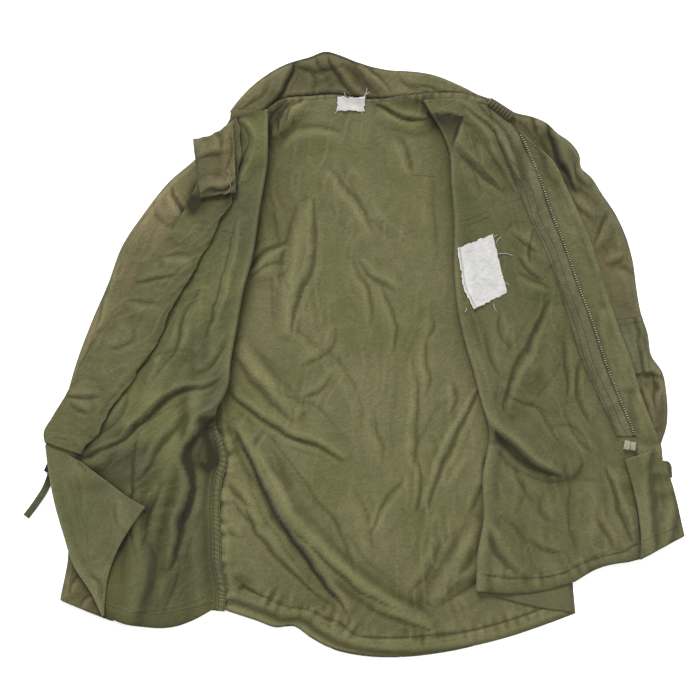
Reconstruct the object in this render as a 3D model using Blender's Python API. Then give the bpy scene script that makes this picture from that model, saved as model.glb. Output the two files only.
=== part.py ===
"""The flight shirt, laid open on its back with the inside up, in metres, +Z up.

Sizes below are in millimetres. A panel is a net of points strung between rails
(seam, fold and edge lines seen from above), given a height, then a wall of cloth.
Left and right are the wearer's: the right front lies at -X, the left front at +X.
"""
import math

import bpy
import numpy as np
from mathutils import Vector
from mathutils.bvhtree import BVHTree

MM = 0.001
MIDDLE = (0.2, -0.85)  # puts the middle of the whole outline on the origin

CLOTH = 1.6  # wall of one ply
DOUBLE = 2.6  # wall of two plies sewn as one: hems, collar, tabs
THIN = 1.0  # wall of labels and tapes
GAP = 0.4  # air left at seams and between plies
ROLL = 9.4  # length of cloth that goes round a fold
NET = 4.0  # spacing of the net that holds heights

ROWS = 36  # rows from hem to neck in each body panel
TURN_ROW = 13  # row at which the right front's corner starts to turn up

INSIDE = (0.156, 0.147, 0.078)
OUTSIDE = (0.190, 0.160, 0.088)
OUTSIDE_DARK = (0.120, 0.108, 0.058)
WHITE = (0.72, 0.72, 0.69)
METAL = (0.27, 0.25, 0.17)
BRASS = (0.12, 0.11, 0.08)
WEBBING = (0.05, 0.05, 0.035)


def clear():
    """Empty the scene."""
    for thing in list(bpy.data.objects):
        bpy.data.objects.remove(thing)


def spline(points, count):
    """A smooth line through the points, cut into equal parts of its length."""
    points = np.array(points, float)
    steps = np.linalg.norm(np.diff(points[:, :2], axis=0), axis=1)
    at = np.concatenate([[0.0], np.cumsum(steps)]) / steps.sum()
    slope = np.gradient(points, at, axis=0)
    want = np.linspace(0.0, 1.0, count + 1)
    k = np.clip(np.searchsorted(at, want, side="right") - 1, 0, len(points) - 2)
    span = (at[k + 1] - at[k])[:, None]
    t = (want - at[k])[:, None] / span
    return (
        points[k] * (2 * t**3 - 3 * t**2 + 1)
        + points[k + 1] * (3 * t**2 - 2 * t**3)
        + slope[k] * span * (t**3 - 2 * t**2 + t)
        + slope[k + 1] * span * (t**3 - t**2)
    )


def two_part(low, high):
    """A rail in two parts that meet at the row where the corner turns up."""
    return np.vstack([spline(low, TURN_ROW)[:-1], spline(high, ROWS - TURN_ROW)])


def weave(rails, counts, sag):
    """Rows of points strung across the rails; each span bows by its sag at the hem."""
    rows = len(rails[0]) - 1
    fade = np.clip(1 - np.linspace(0, 1, rows + 1) / 0.12, 0, 1) ** 1.5
    columns = []
    for k, count in enumerate(counts):
        for j in range(count):
            f = j / count
            line = rails[k] * (1 - f) + rails[k + 1] * f
            line[:, 1] += sag[k] * math.sin(math.pi * f) * fade
            columns.append(line)
    columns.append(rails[-1].copy())
    return np.stack(columns, axis=1)


def fit_ends(net, hem, neck):
    """Bend a net so that its first row is the hem line and its last the neck line."""
    v = np.linspace(0, 1, len(net))[:, None, None]
    low, high = (hem - net[0])[None], (neck - net[-1])[None]
    return net + low * (1 - v) ** 1.6 + high * v**1.6


def raised(flat, table):
    """Height of soft folds. Each row: start x y, end x y, sideways bow, half width, height."""
    z = np.zeros(flat.shape[:-1])
    for x0, y0, x1, y1, bow, half, height in table:
        along = np.array((x1 - x0, y1 - y0))
        length = np.linalg.norm(along)
        along = along / length
        rel = flat[..., :2] - np.array((x0, y0))
        s = np.clip(rel @ along / length, 0, 1)
        side = rel @ np.array((-along[1], along[0])) - bow * 4 * s * (1 - s)
        across = np.cos(np.clip(side / half, -1, 1) * math.pi / 2) ** 2
        z += height * across * np.sin(math.pi * s) ** 0.7
    return z


class Bed:
    """Heights of all that already lies there, held on a square net."""

    def __init__(self):
        self.x = np.arange(-464.0, 465.0, NET)
        self.y = np.arange(-424.0, 425.0, NET)
        self.z = np.zeros((len(self.x), len(self.y)))

    def lay(self, points, faces):
        """Add a body: the net rises to its top side."""
        tree = BVHTree.FromPolygons([tuple(p) for p in points], faces)
        low, high = points.min(axis=0), points.max(axis=0)
        for i in np.nonzero((self.x >= low[0]) & (self.x <= high[0]))[0]:
            for j in np.nonzero((self.y >= low[1]) & (self.y <= high[1]))[0]:
                hit = tree.ray_cast(Vector((self.x[i], self.y[j], 300.0)), Vector((0, 0, -1)))[0]
                if hit is not None and hit.z > self.z[i, j]:
                    self.z[i, j] = hit.z

    def over(self, flat, reach=18.0, soft=12.0):
        """Height that clears all within reach of each point, with its steps eased."""
        z = self.z.copy()
        for _ in range(round((reach + soft) / NET)):
            for axis in (0, 1):
                z = np.maximum(z, np.maximum(np.roll(z, 1, axis), np.roll(z, -1, axis)))
        for _ in range(max(1, round(soft / NET))):
            for axis in (0, 1):
                z = (z + np.roll(z, 1, axis) + np.roll(z, -1, axis)) / 3
        i = np.clip((flat[..., 0] - self.x[0]) / NET, 0, len(self.x) - 1.001)
        j = np.clip((flat[..., 1] - self.y[0]) / NET, 0, len(self.y) - 1.001)
        i0, j0 = i.astype(int), j.astype(int)
        a, b = i - i0, j - j0
        near = z[i0, j0] * (1 - a) + z[i0 + 1, j0] * a
        far = z[i0, j0 + 1] * (1 - a) + z[i0 + 1, j0 + 1] * a
        return near * (1 - b) + far * b


def lifted(flat, z):
    """The net's plan with its heights."""
    return np.concatenate([flat[..., :2], z[..., None]], axis=-1)


def quads(index, closed=False):
    """Squares between the rows and columns of an index net."""
    last = index.shape[1] if closed else index.shape[1] - 1
    found = []
    for i in range(index.shape[0] - 1):
        for j in range(last):
            k = (j + 1) % index.shape[1]
            found.append((index[i, j], index[i, k], index[i + 1, k], index[i + 1, j]))
    return found


def triangles(squares):
    """Each square cut the same way, so that a strip on a panel lies along it."""
    return [t for a, b, c, d in squares for t in ((a, b, c), (a, c, d))]


def normals(points, faces):
    """Unit direction out of the upper side at each point."""
    out = np.zeros_like(points)
    face = np.array(faces)
    a, b, c = points[face[:, 0]], points[face[:, 1]], points[face[:, 2]]
    area = np.cross(b - a, c - a)
    for k in range(3):
        np.add.at(out, face[:, k], area)
    return out / np.linalg.norm(out, axis=1)[:, None]


def wall(points, faces, thick):
    """Close a surface into a wall: pushed out both ways, with its edges joined."""
    thick = np.broadcast_to(thick, (len(points),))
    out = normals(points, faces) * (thick * 0.5)[:, None]
    count = len(points)
    body = [tuple(f) for f in faces]
    body += [(c + count, b + count, a + count) for a, b, c in faces]
    edges = {(f[k], f[(k + 1) % 3]) for f in faces for k in range(3)}
    for a, b in edges:
        if (b, a) not in edges:
            body += [(a, a + count, b + count), (a, b + count, b)]
    return np.vstack([points + out, points - out]), body


def add(name, points, faces, colour, rough=0.9, metallic=0.0):
    """Make a named object of one body, with its own paint."""
    mesh = bpy.data.meshes.new(name)
    moved = (points + np.array((*MIDDLE, 0.0))) * MM
    mesh.from_pydata([tuple(p) for p in moved], [], [tuple(int(k) for k in f) for f in faces])
    mesh.update()
    thing = bpy.data.objects.new(name, mesh)
    bpy.context.scene.collection.objects.link(thing)
    paint = bpy.data.materials.new(name + "_mat")
    paint.use_nodes = True
    shader = paint.node_tree.nodes["Principled BSDF"]
    shader.inputs["Base Color"].default_value = (*colour, 1.0)
    shader.inputs["Roughness"].default_value = rough
    shader.inputs["Metallic"].default_value = metallic
    mesh.materials.append(paint)


def cloth(name, points, faces, thick, colour):
    """Make a named wall of cloth and return its body for the bed."""
    shell, body = wall(points, faces, thick)
    add(name, shell, body, colour)
    return shell, body


def plain(net, closed=False):
    """Points and triangles of one net."""
    rows, columns = net.shape[:2]
    index = np.arange(rows * columns).reshape(rows, columns)
    return net.reshape(-1, 3), triangles(quads(index, closed))


def hem_wall(net, rows=2):
    """Wall at each point of a body panel: double in the hem, one ply above."""
    thick = np.full(net.shape[:2], CLOTH)
    thick[:rows] = DOUBLE
    return thick.reshape(-1)


def hem_rise(net):
    """Half the wall of each row: how far its middle lies above its underside."""
    rise = np.full(net.shape[:2], CLOTH / 2)
    rise[:2] = DOUBLE / 2
    return rise


def section(turn, tail, steps, tail_steps):
    """Rolled edge: how far out and up from the rail, an arc that turns down, then straight."""
    turn = np.maximum(np.radians(turn), 0.02)
    bend = turn / ROLL
    out, up = [], []
    for k in range(1, steps + 1):
        a = turn * k / steps
        out.append(np.sin(a) / bend)
        up.append((np.cos(a) - 1) / bend)
    for k in range(1, tail_steps + 1):
        out.append(out[steps - 1] + np.cos(turn) * tail * k / tail_steps)
        up.append(up[steps - 1] - np.sin(turn) * tail * k / tail_steps)
    return np.stack(out, axis=1), np.stack(up, axis=1)


# ---------------------------------------------------------------- back panel
# visible right-hand limit of the right front, hem to underarm: the side seam
SIDE_SEAM = [(-180, -346), (-178, -318), (-184, -282), (-185, -240), (-186, -200), (-182, -165),
             (-176, -145), (-179, -122), (-186, -100)]
BACK_LEFT = [(-186, -100), (-187, -84), (-188, -64), (-191, -38), (-190, 5), (-186, 55), (-184.6, 120),
             (-184, 200), (-183.4, 262), (-182, 294), (-172, 310), (-166, 321)]
BACK_RIGHT = [(297, -349), (291, -290), (277, -200), (254, -110), (238, -40), (229, 20),
              (223, 80), (217, 150), (210, 220), (204, 280), (197, 322), (180, 340)]
BACK_HEM = [(-168, -331), (-152, -337), (-120, -349), (-98, -358), (-72, -358), (-50, -374),
            (-20, -391), (20, -401), (60, -404), (120, -400), (200, -383), (260, -363), (297, -349)]
NECK = [(-166, 321), (-140, 321), (-120, 329), (-100, 342), (-60, 347), (-30, 349), (20, 343),
        (80, 349), (120, 352), (150, 350), (180, 340)]
# start x, start y, end x, end y, sideways bow, half width, height
BACK_FOLDS = [
    (-162, -88, -8, -345, -6, 19, 8.0),
    (-160, -45, -8, -146, -8, 17, 5.0),
    (-132, -118, 104, -366, -38, 20, 7.0),
    (158, -40, 88, -214, -7, 17, 5.5),
    (168, -222, 98, -334, 4, 18, 6.5),
    (72, 2, 70, -210, 3, 17, 3.5),
    (-60, 208, -92, 22, -9, 18, 6.0),
    (0, 135, 42, 8, 8, 17, 3.5),
    (-48, 252, 24, 150, 8, 18, 4.0),
    (-150, 92, -84, 128, 4, 17, 4.5),
    (-158, 16, -72, -82, -6, 18, 5.0),
    (28, 328, 104, 308, -5, 16, 5.5),
    (-118, 284, -74, 338, 4, 17, 7.0),
    (-160, -186, -52, -326, -10, 17, 4.0),
    (100, 52, 88, -58, -4, 17, 3.0),
]
BACK_COLUMNS = 24

# ------------------------------------------------------------------- sleeves
# outer x, outer y, inner x, inner y of each section, armhole to cuff
RIGHT_SLEEVE = [
    (-185, 294, -188, 58), (-214, 263, -195, 50), (-250, 232, -203, 38), (-285, 188, -212, 22),
    (-313, 146, -222, 0), (-333, 93, -236, -32), (-355, 42, -250, -70), (-380, -28, -268, -130),
    (-397, -110, -284, -190), (-399, -190, -298, -250), (-386, -264, -312, -305),
    (-397, -331, -326, -360),
]
LEFT_SLEEVE = [
    (204, 322, 232, 24), (238, 316, 238, 18), (272, 290, 246, 8), (302, 250, 256, -8),
    (332, 213, 266, -28), (358, 170, 276, -50), (374, 118, 286, -80), (384, 55, 298, -110),
    (398, -5, 308, -145), (416, -48, 316, -180), (414, -130, 322, -220), (406, -250, 328, -262),
]
RIGHT_SLEEVE_FOLDS = [
    (-212, 240, -296, 92, -14, 18, 6.0), (-262, 196, -326, 44, -8, 17, 4.0),
    (-366, -318, -372, -292, 0, 14, 2.5),
]
LEFT_SLEEVE_FOLDS = [
    (232, 306, 276, 214, 6, 16, 6.0), (270, 300, 300, 200, 14, 15, 6.5),
    (306, 226, 350, 120, 10, 17, 6.0), (342, 172, 372, 60, 6, 16, 4.0),
    (380, -30, 408, -96, 4, 17, 4.0), (250, 312, 262, 286, 0, 12, 3.0),
]
SLEEVE_RINGS = 22
SLEEVE_FLAT = 6  # points across each ply of a sleeve
SLEEVE_RISE = 3.6  # least height from ply to ply

# --------------------------------------------------------------- right front
# visible right-hand limit above the side seam: x, y, degrees turned under, ply under, 1 on the back
FRONT_ROLL = [
    (-186, -100, 0, 4, 0), (-188, -87, 25, 4, 0.2), (-186, -74, 90, 4, 1), (-178, -60, 165, 6, 1),
    (-171, -44, 180, 12, 1), (-167, -10, 180, 18, 1), (-159, 35, 180, 24, 1),
    (-150, 85, 180, 32, 1), (-138, 130, 180, 40, 1), (-128, 195, 180, 48, 1),
    (-118, 258, 180, 56, 1), (-116, 318, 180, 46, 1),
]
FACING_LOW = [(-290, -367), (-322, -300), (-356, -215), (-372, -138)]
FACING_HIGH = [(-372, -138), (-350, -112), (-318, -60), (-296, -30), (-268, 10), (-250, 50),
               (-224, 98), (-206, 128), (-190, 163), (-163, 212), (-153, 258), (-155, 303)]
FREE_LOW = [(-339, -352), (-351, -325), (-378, -282), (-390, -245), (-403, -200), (-413, -145),
            (-416, -122)]
FREE_HIGH = [(-416, -122), (-418, -107), (-406, -84), (-390, -58), (-374, -30), (-346, 22),
             (-314, 56), (-291, 104), (-256, 149), (-233, 186), (-212, 230), (-198, 286)]
# far edge of the turned corner, from its tip back to the row where it starts
FLAP_EDGE = [(-281, -205), (-300, -194), (-340, -165), (-372, -142), (-395, -131), (-409, -126)]
FLAP_SAG = -16.0  # how far the turned hem bows away from a straight line
RIGHT_FRONT_FOLDS = [
    (-190, -42, -366, -146, 12, 19, 6.0), (-206, -92, -242, -240, 8, 17, 11.0),
    (-146, 190, -232, -6, 6, 22, 5.0), (-238, -232, -262, -350, 4, 18, 6.0),
    (-300, -170, -296, -350, 4, 22, 5.0), (-390, -80, -300, -64, -3, 15, 4.0),
    (-196, 70, -300, -120, -10, 20, 4.0),
]

# ---------------------------------------------------------------- left front
FOLD_RAIL = [(163, -318), (165, -270), (173, -222), (172, -165), (181, -104), (170, -64),
             (159, -22), (147, 20), (138, 65), (134, 110), (134, 180), (130, 230), (128, 268),
             (116, 300), (100, 326), (92, 341)]
MIDDLE_RAIL = [(296, -306), (291, -250), (288, -180), (280, -120), (262, -60), (245, 0),
               (228, 60), (210, 120), (192, 180), (175, 240), (158, 290), (140, 344)]
TAPE_RAIL = [(366, -280), (363, -215), (357, -150), (352, -115), (330, -65), (303, -5),
             (283, 60), (255, 140), (233, 186), (212, 238), (190, 290), (181, 332)]
TEETH_RAIL = [(386, -275), (383, -245), (378, -195), (375, -150), (377, -118), (358, -65),
              (342, -25), (318, 48), (300, 95), (283, 145), (265, 190), (250, 235), (233, 275),
              (208, 312)]
LEFT_SAG = (-9.0, 6.0, 0.0)
TUCK_INSET = 4.0  # how far the tuck's seam stays inside the back's edge
LEFT_FRONT_FOLDS = [
    (192, -72, 308, -140, -20, 20, 12.0), (246, -186, 292, -272, 4, 20, 5.0),
    (318, -170, 312, -272, 4, 18, 5.0), (340, -150, 366, -262, 3, 17, 4.0),
    (182, -226, 226, -296, 4, 17, 6.0), (270, 66, 268, -78, -7, 17, 5.0),
    (236, 26, 204, -66, -5, 17, 4.0), (206, 168, 262, 118, 5, 17, 4.5),
    (212, 120, 258, 76, 4, 16, 4.0), (186, 256, 230, 200, 5, 16, 5.0),
    (140, 300, 176, 322, 3, 16, 5.0), (150, 20, 176, -70, 4, 20, 4.0),
]
FLY_EDGE = [(411, -122), (404, -105), (380, -42), (368, 0), (355, 32), (342, 72), (328, 118),
            (315, 155), (298, 195), (285, 222), (263, 262), (240, 283), (222, 300)]
FLY_LAP = 12.0  # how far the fly goes in under the zip edge
HEM_FLAP_LEFT = [(386, -275), (383, -248), (377, -200), (367, -160), (361, -141)]
HEM_FLAP_RIGHT = [(444, -245), (440, -228), (431, -190), (417, -152), (403, -128)]
SLIDER_AT = (368.0, -122.5)

# -------------------------------------------------------------------- collar
COLLAR_TOP = [(-168, 326), (-161, 336), (-150, 349), (-120, 375), (-90, 391), (-60, 400),
              (-40, 407), (-20, 402), (0, 394), (40, 383), (80, 380), (100, 377), (140, 362),
              (168, 348), (190, 341)]
COLLAR_FOLDS = [
    (-112, 334, -70, 402, -4, 15, 5.0), (-60, 352, -28, 408, -3, 14, 5.0),
    (26, 346, 2, 392, -3, 14, 5.0), (60, 372, 150, 356, 4, 14, 3.0),
    (-160, 334, -118, 372, 3, 14, 3.0),
]

# -------------------------------------------------------------- small pieces
# near-left, near-right, far-right and far-left corners
NECK_LABEL = [(-25, 327), (14, 326), (14, 346), (-25, 347)]
FRONT_LABEL = [(160, 59), (205, 82), (185, 162), (137, 143)]
LAPEL = [(-206, 212), (-160, 216), (-158, 301), (-216, 287)]
PENCIL_POCKET = [(362, -30), (396, -24), (386, 50), (346, 44)]
CUFF_TAB = [(392, -170), (427, -166), (426, -145), (392, -140)]
SHOULDER_BAND = [(186, 330), (208, 313), (216, 322), (192, 340)]
SHOULDER_PLEATS = 8
STRAP_PATH = [(-402.5, -138), (-410, -150), (-411, -168), (-420, -193), (-431, -208), (-442, -217)]
STRAP_WIDE = 8.0
STRAP_KEEPER = [(-416, -161), (-406.5, -160), (-406.5, -148), (-415.5, -147)]
SLIDER_SIZE = (15.0, 12.0, 3.6)
FLAP_FOLDS = [(-392, -150, -370, -262, 4, 16, 3.0), (-300, -206, -336, -300, 6, 14, 2.5)]


def laid(name, corners, across, along, thick, colour, bed, reach=8.0, ribs=0):
    """A piece with four corners laid on what is there."""
    a, b, c, d = (np.array(p, float) for p in corners)
    u = np.linspace(0, 1, across + 1)[None, :, None]
    v = np.linspace(0, 1, along + 1)[:, None, None]
    flat = (a * (1 - u) + b * u) * (1 - v) + (d * (1 - u) + c * u) * v
    z = bed.over(flat, reach, 4.0) + GAP + thick / 2
    if ribs:
        swell = 1 - np.cos(2 * math.pi * ribs * u[..., 0])
        z = z + 0.9 * swell * (0.3 + 0.7 * np.sin(math.pi * v[..., 0]))
    points, faces = plain(lifted(flat, z))
    bed.lay(*cloth(name, points, faces, thick, colour))


def laid_between(name, left, right, across, thick, colour, bed, reach=10.0):
    """A piece between two rails laid on what is there; returns its net."""
    flat = weave([left, right], [across], [0.0])
    net = lifted(flat, bed.over(flat, reach, 8.0) + GAP + CLOTH / 2)
    points, faces = plain(net)
    bed.lay(*cloth(name, points, faces, thick, colour))
    return net


def strip(name, net, thick, lift, colour):
    """A strip made from part of a panel's net, moved out from its points."""
    points, faces = plain(net)
    moved = points + normals(points, faces) * (lift + thick / 2)
    return cloth(name, moved, faces, thick, colour)


def near_edge(rail, net, reach):
    """Share of a rolled edge's height felt at each point: one at the edge, none past reach."""
    gone = np.linalg.norm(net[..., :2] - rail[:, None, :2], axis=2)
    return np.cos(np.clip(gone / reach, 0, 1) * math.pi / 2) ** 2


def level_edges(z, share, edge):
    """Ease a panel's heights up to the height of its rolled edge."""
    return z * (1 - share) + np.maximum(z, edge[:, None]) * share


def build_back(bed):
    """Back panel on the floor, from the side seam to the other side edge, and the collar."""
    seam = spline(SIDE_SEAM, TURN_ROW)
    left = np.vstack([seam[:-1], spline(BACK_LEFT, ROWS - TURN_ROW)])
    left[0] = BACK_HEM[0]
    left[: TURN_ROW + 1, 0] += GAP
    right = spline(BACK_RIGHT, ROWS)
    neck = spline(NECK, BACK_COLUMNS)
    flat = weave([left, right], [BACK_COLUMNS], [0.0])
    flat = fit_ends(flat, spline(BACK_HEM, BACK_COLUMNS), neck)
    inward = np.arange(BACK_COLUMNS + 1)
    inward = np.clip(np.minimum(inward, inward[::-1]), 0, 2) / 2.0
    z = raised(flat, BACK_FOLDS) * inward
    z[0] = 0.0
    thick = hem_wall(flat)
    points, faces = plain(lifted(flat, z + thick.reshape(z.shape) / 2))
    bed.lay(*cloth("back", points, faces, thick, INSIDE))

    foot = neck + np.array((0.0, 2 * GAP))
    top = spline(COLLAR_TOP, BACK_COLUMNS)
    across = (1.0, 0.85, 0.6, 0.3, 0.0)
    band = np.stack([foot * (1 - f) + top * f for f in across], axis=1)
    z = raised(band, COLLAR_FOLDS) * np.array((0.6, 0.8, 1.0, 1.0, 0.3))
    points, faces = plain(lifted(band, z + DOUBLE / 2))
    bed.lay(*cloth("collar", points, faces, DOUBLE, OUTSIDE))
    return seam, right


def build_sleeve(name, table, folds, colour, side, bed):
    """A flattened tube beside the back, open at armhole and cuff."""
    rings = []
    for ox, oy, ix, iy in spline(table, SLEEVE_RINGS):
        outer, inner = np.array((ox, oy)), np.array((ix, iy))
        inset = 2.4 / np.linalg.norm(inner - outer)
        f = np.linspace(inset, 1 - inset, SLEEVE_FLAT)
        line = outer * (1 - f[:, None]) + inner * f[:, None]
        rise = SLEEVE_RISE + 3.0 * np.sin(math.pi * f) + raised(line, folds)
        middle = CLOTH / 2 + SLEEVE_RISE / 2
        ring = [(*outer, middle)] + [(*p, CLOTH / 2) for p in line]
        ring += [(*inner, middle)]
        ring += [(*p, CLOTH / 2 + r) for p, r in zip(line[::-1], rise[::-1])]
        rings.append(ring[::side])
    points, faces = plain(np.array(rings), closed=True)
    bed.lay(*cloth(name, points, faces, CLOTH, colour))


def build_strap(bed):
    """Tape that comes out beside the right sleeve, and the keeper round it."""
    line = spline(STRAP_PATH, 12)
    run = np.gradient(line, axis=0)
    run /= np.linalg.norm(run, axis=1)[:, None]
    across = np.stack([-run[:, 1], run[:, 0]], axis=1) * STRAP_WIDE / 2
    tape = np.stack([line + across * f for f in (-1.0, 0.0, 1.0)], axis=1)
    step = np.arange(13)
    lift = 2.0 * np.exp(-(((step - 8.0) / 1.6) ** 2))
    z = THIN / 2 + np.repeat(lift[:, None], 3, axis=1)
    points, faces = plain(lifted(tape, z))
    bed.lay(*cloth("right_strap", points, faces, THIN, WEBBING))
    laid("strap_keeper", STRAP_KEEPER, 2, 2, DOUBLE, WEBBING, bed, 4.0)


def build_right_front(bed, seam):
    """Front whose edge rolls over the back, with its lower corner turned up."""
    sewn = np.hstack([seam, np.tile((0.0, 4.0, 0.0), (len(seam), 1))])
    rail = np.vstack([sewn[:-1], spline(FRONT_ROLL, ROWS - TURN_ROW)])
    visible, turn, tail, on_back = rail[:, :2], rail[:, 2], rail[:, 3], rail[:, 4]
    run = np.gradient(visible, axis=0)
    run /= np.linalg.norm(run, axis=1)[:, None]
    outward = np.stack([run[:, 1], -run[:, 0]], axis=1)
    out, up = section(np.clip(turn, 0, 180), tail, 4, 2)
    inner = visible - outward * out.max(axis=1)[:, None]
    roll = inner[:, None, :] + outward[:, None, :] * out[..., None]
    clear_of = bed.over(roll, 10.0, 8.0).max(axis=1) + GAP
    base = CLOTH / 2 + np.clip(on_back, 0, 1) * clear_of
    base[:2] = DOUBLE / 2
    edge = base - up[:, -1]
    under = lifted(roll, edge[:, None] + up)
    points, faces = plain(under[:, ::-1])
    bed.lay(points + np.array((0, 0, CLOTH / 2)), faces)

    facing = two_part(FACING_LOW, FACING_HIGH)
    free = two_part(FREE_LOW, FREE_HIGH)
    radius = np.interp(np.arange(TURN_ROW + 1), (TURN_ROW - 3, TURN_ROW), (3.0, 1.7))
    run = np.gradient(free[: TURN_ROW + 1], axis=0)
    run /= np.linalg.norm(run, axis=1)[:, None]
    away = np.stack([-run[:, 1], run[:, 0]], axis=1)
    hinge = free.copy()
    hinge[: TURN_ROW + 1] -= away * radius[:, None]
    flat = weave([inner, facing, hinge], [9, 4], (-11.0, -3.0))
    z = bed.over(flat) + GAP + hem_rise(flat) + raised(flat, RIGHT_FRONT_FOLDS)
    z = level_edges(z, near_edge(inner, flat, 40.0), edge)
    z[:, 0] = edge
    main = lifted(flat, z)[:, ::-1]
    whole = np.concatenate([main, under], axis=1)
    points, faces = plain(whole)
    thick = hem_wall(whole)
    shell, _ = wall(points, faces, thick)
    bed.lay(*wall(points, faces, thick))

    # the turned corner: a roll up from the hinge, then a ply across to its far edge
    fold = main[: TURN_ROW + 1, 0]
    far = spline(FLAP_EDGE, TURN_ROW)
    angle = np.radians((180, 135, 90, 45))
    roll = np.stack(
        [
            np.concatenate(
                [fold[:, :2] + away * (radius * math.sin(a))[:, None],
                 (fold[:, 2] + radius * (1 - math.cos(a)))[:, None]], axis=1)
            for a in angle
        ],
        axis=1,
    )
    share = np.linspace(1, 0, 8)[:-1]
    bow = FLAP_SAG * np.clip(1 - np.arange(TURN_ROW + 1) / 6.0, 0, 1)
    ply = [far * f + roll[:, 0, :2] * (1 - f) + np.stack(
        [bow * math.sin(math.pi * f), 0 * bow], axis=1) for f in share]
    ply = np.stack(ply, axis=1)
    z = bed.over(ply, 14.0, 8.0) + GAP + CLOTH / 2 + raised(ply, FLAP_FOLDS)
    z = level_edges(z, near_edge(roll[:, 0], ply, 24.0), roll[:, 0, 2])
    roll[:, 0, 2] = np.maximum(roll[:, 0, 2], z[:, -1] - 1.0)
    flap = np.concatenate([lifted(ply, z), roll], axis=1)
    first = len(points)
    index = np.arange(flap.shape[0] * flap.shape[1]).reshape(flap.shape[:2]) + first
    main_index = np.arange(whole.shape[0] * whole.shape[1]).reshape(whole.shape[:2])
    joined = np.concatenate([index, main_index[: TURN_ROW + 1, :1]], axis=1)
    points = np.vstack([points, flap.reshape(-1, 3)])
    faces = faces + triangles(quads(joined))
    thick = np.concatenate([thick, hem_wall(flap, 1)])
    bed.lay(*cloth("right_front", points, faces, thick, INSIDE))

    rows = slice(TURN_ROW + 1, ROWS + 1)
    strip_net = main[rows, :5]
    bed.lay(*strip("right_facing", strip_net, CLOTH, CLOTH / 2 + GAP, INSIDE))
    laid("right_lapel", LAPEL, 5, 8, DOUBLE, OUTSIDE, bed, 10.0)
    return shell


def build_left_front(bed, back_right):
    """Front tucked back over the back panel, with its fly, zip and labels."""
    zip_line = spline(TEETH_RAIL[4:], 24) - np.array((FLY_LAP, 0.0))
    laid_between("left_fly", zip_line, spline(FLY_EDGE, 24), 4, CLOTH, INSIDE, bed)

    seam = back_right - np.array((TUCK_INSET, 0.0))
    seam[0] = back_right[0] + np.array((-TUCK_INSET, 1.5))
    rail = spline(FOLD_RAIL, ROWS)
    outward = rail - seam
    outward /= np.linalg.norm(outward, axis=1)[:, None]
    radius = ROLL / math.pi
    inner = rail - outward * radius
    tuck = weave([seam, inner], [6], (-4.0,))
    z = bed.over(tuck, 18.0, 8.0) + GAP + hem_rise(tuck)
    low = lifted(tuck, z)
    bed.lay(*wall(*plain(low), hem_wall(low)))
    arc = [np.concatenate([inner + outward * radius * math.sin(a),
                           (z[:, -1] + radius * (1 - math.cos(a)))[:, None]], axis=1)
           for a in np.radians((45, 90, 135))]
    arc = np.stack(arc, axis=1)
    edge = z[:, -1] + 2 * radius

    rails = [inner] + [spline(r, ROWS) for r in (MIDDLE_RAIL, TAPE_RAIL, TEETH_RAIL)]
    flat = weave(rails, [7, 5, 2], LEFT_SAG)
    z = bed.over(flat) + GAP + hem_rise(flat) + raised(flat, LEFT_FRONT_FOLDS)
    z = level_edges(z, near_edge(inner, flat, 40.0), edge)
    z[:, 0] = edge
    main = lifted(flat, z)
    whole = np.concatenate([low, arc, main], axis=1)
    points, faces = plain(whole)
    bed.lay(*cloth("left_front", points, faces, hem_wall(whole), INSIDE))

    left, right = spline(HEM_FLAP_LEFT, 8), spline(HEM_FLAP_RIGHT, 8)
    laid_between("left_hem_facing", left, right, 4, CLOTH, INSIDE, bed, 12.0)

    first = int(np.argmin(np.linalg.norm(main[:, -1, :2] - np.array(SLIDER_AT), axis=1))) + 1
    tape = main[first:, -3:]
    lift = CLOTH / 2 + GAP
    strip("zip_tape", tape, THIN, lift, INSIDE)
    chain = np.stack([tape[:, -2] * 0.25 + tape[:, -1] * 0.75, tape[:, -1] * 0.98 + tape[:, -2] * 0.02],
                     axis=1)
    bed.lay(*strip("zip_chain", chain, 1.8, lift + THIN + GAP, BRASS))
    box("zip_slider", SLIDER_AT, SLIDER_SIZE, -14.0, bed, METAL)
    laid("front_label", FRONT_LABEL, 6, 8, THIN, WHITE, bed, 8.0)


def box(name, at, size, tilt, bed, colour):
    """A small hard block with eased edges that lies flat on what is under it."""
    wide, deep, high = size
    turn = math.radians(tilt)
    spin = np.array(((math.cos(turn), -math.sin(turn)), (math.sin(turn), math.cos(turn))))
    corner = np.array(((-1, -1), (1, -1), (1, 1), (-1, 1))) * np.array((wide, deep)) / 2
    floor = bed.over(np.array(at) + corner @ spin.T * 0.7, 0.0, 4.0).max() + GAP
    rings = []
    for inset, z in ((0.8, 0.0), (0.0, 0.8), (0.0, high - 0.8), (0.8, high)):
        ring = corner * (1 - 2 * inset / np.array((wide, deep))) @ spin.T + np.array(at)
        rings.append(lifted(ring, np.full(4, floor + z)))
    points = np.vstack(rings)
    faces = [(3, 2, 1, 0), (12, 13, 14, 15)]
    for k in range(3):
        for j in range(4):
            n = (j + 1) % 4
            faces.append((4 * k + j, 4 * k + n, 4 * k + 4 + n, 4 * k + 4 + j))
    add(name, points, faces, colour, 0.45, 0.8)
    bed.lay(points, faces)


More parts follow.
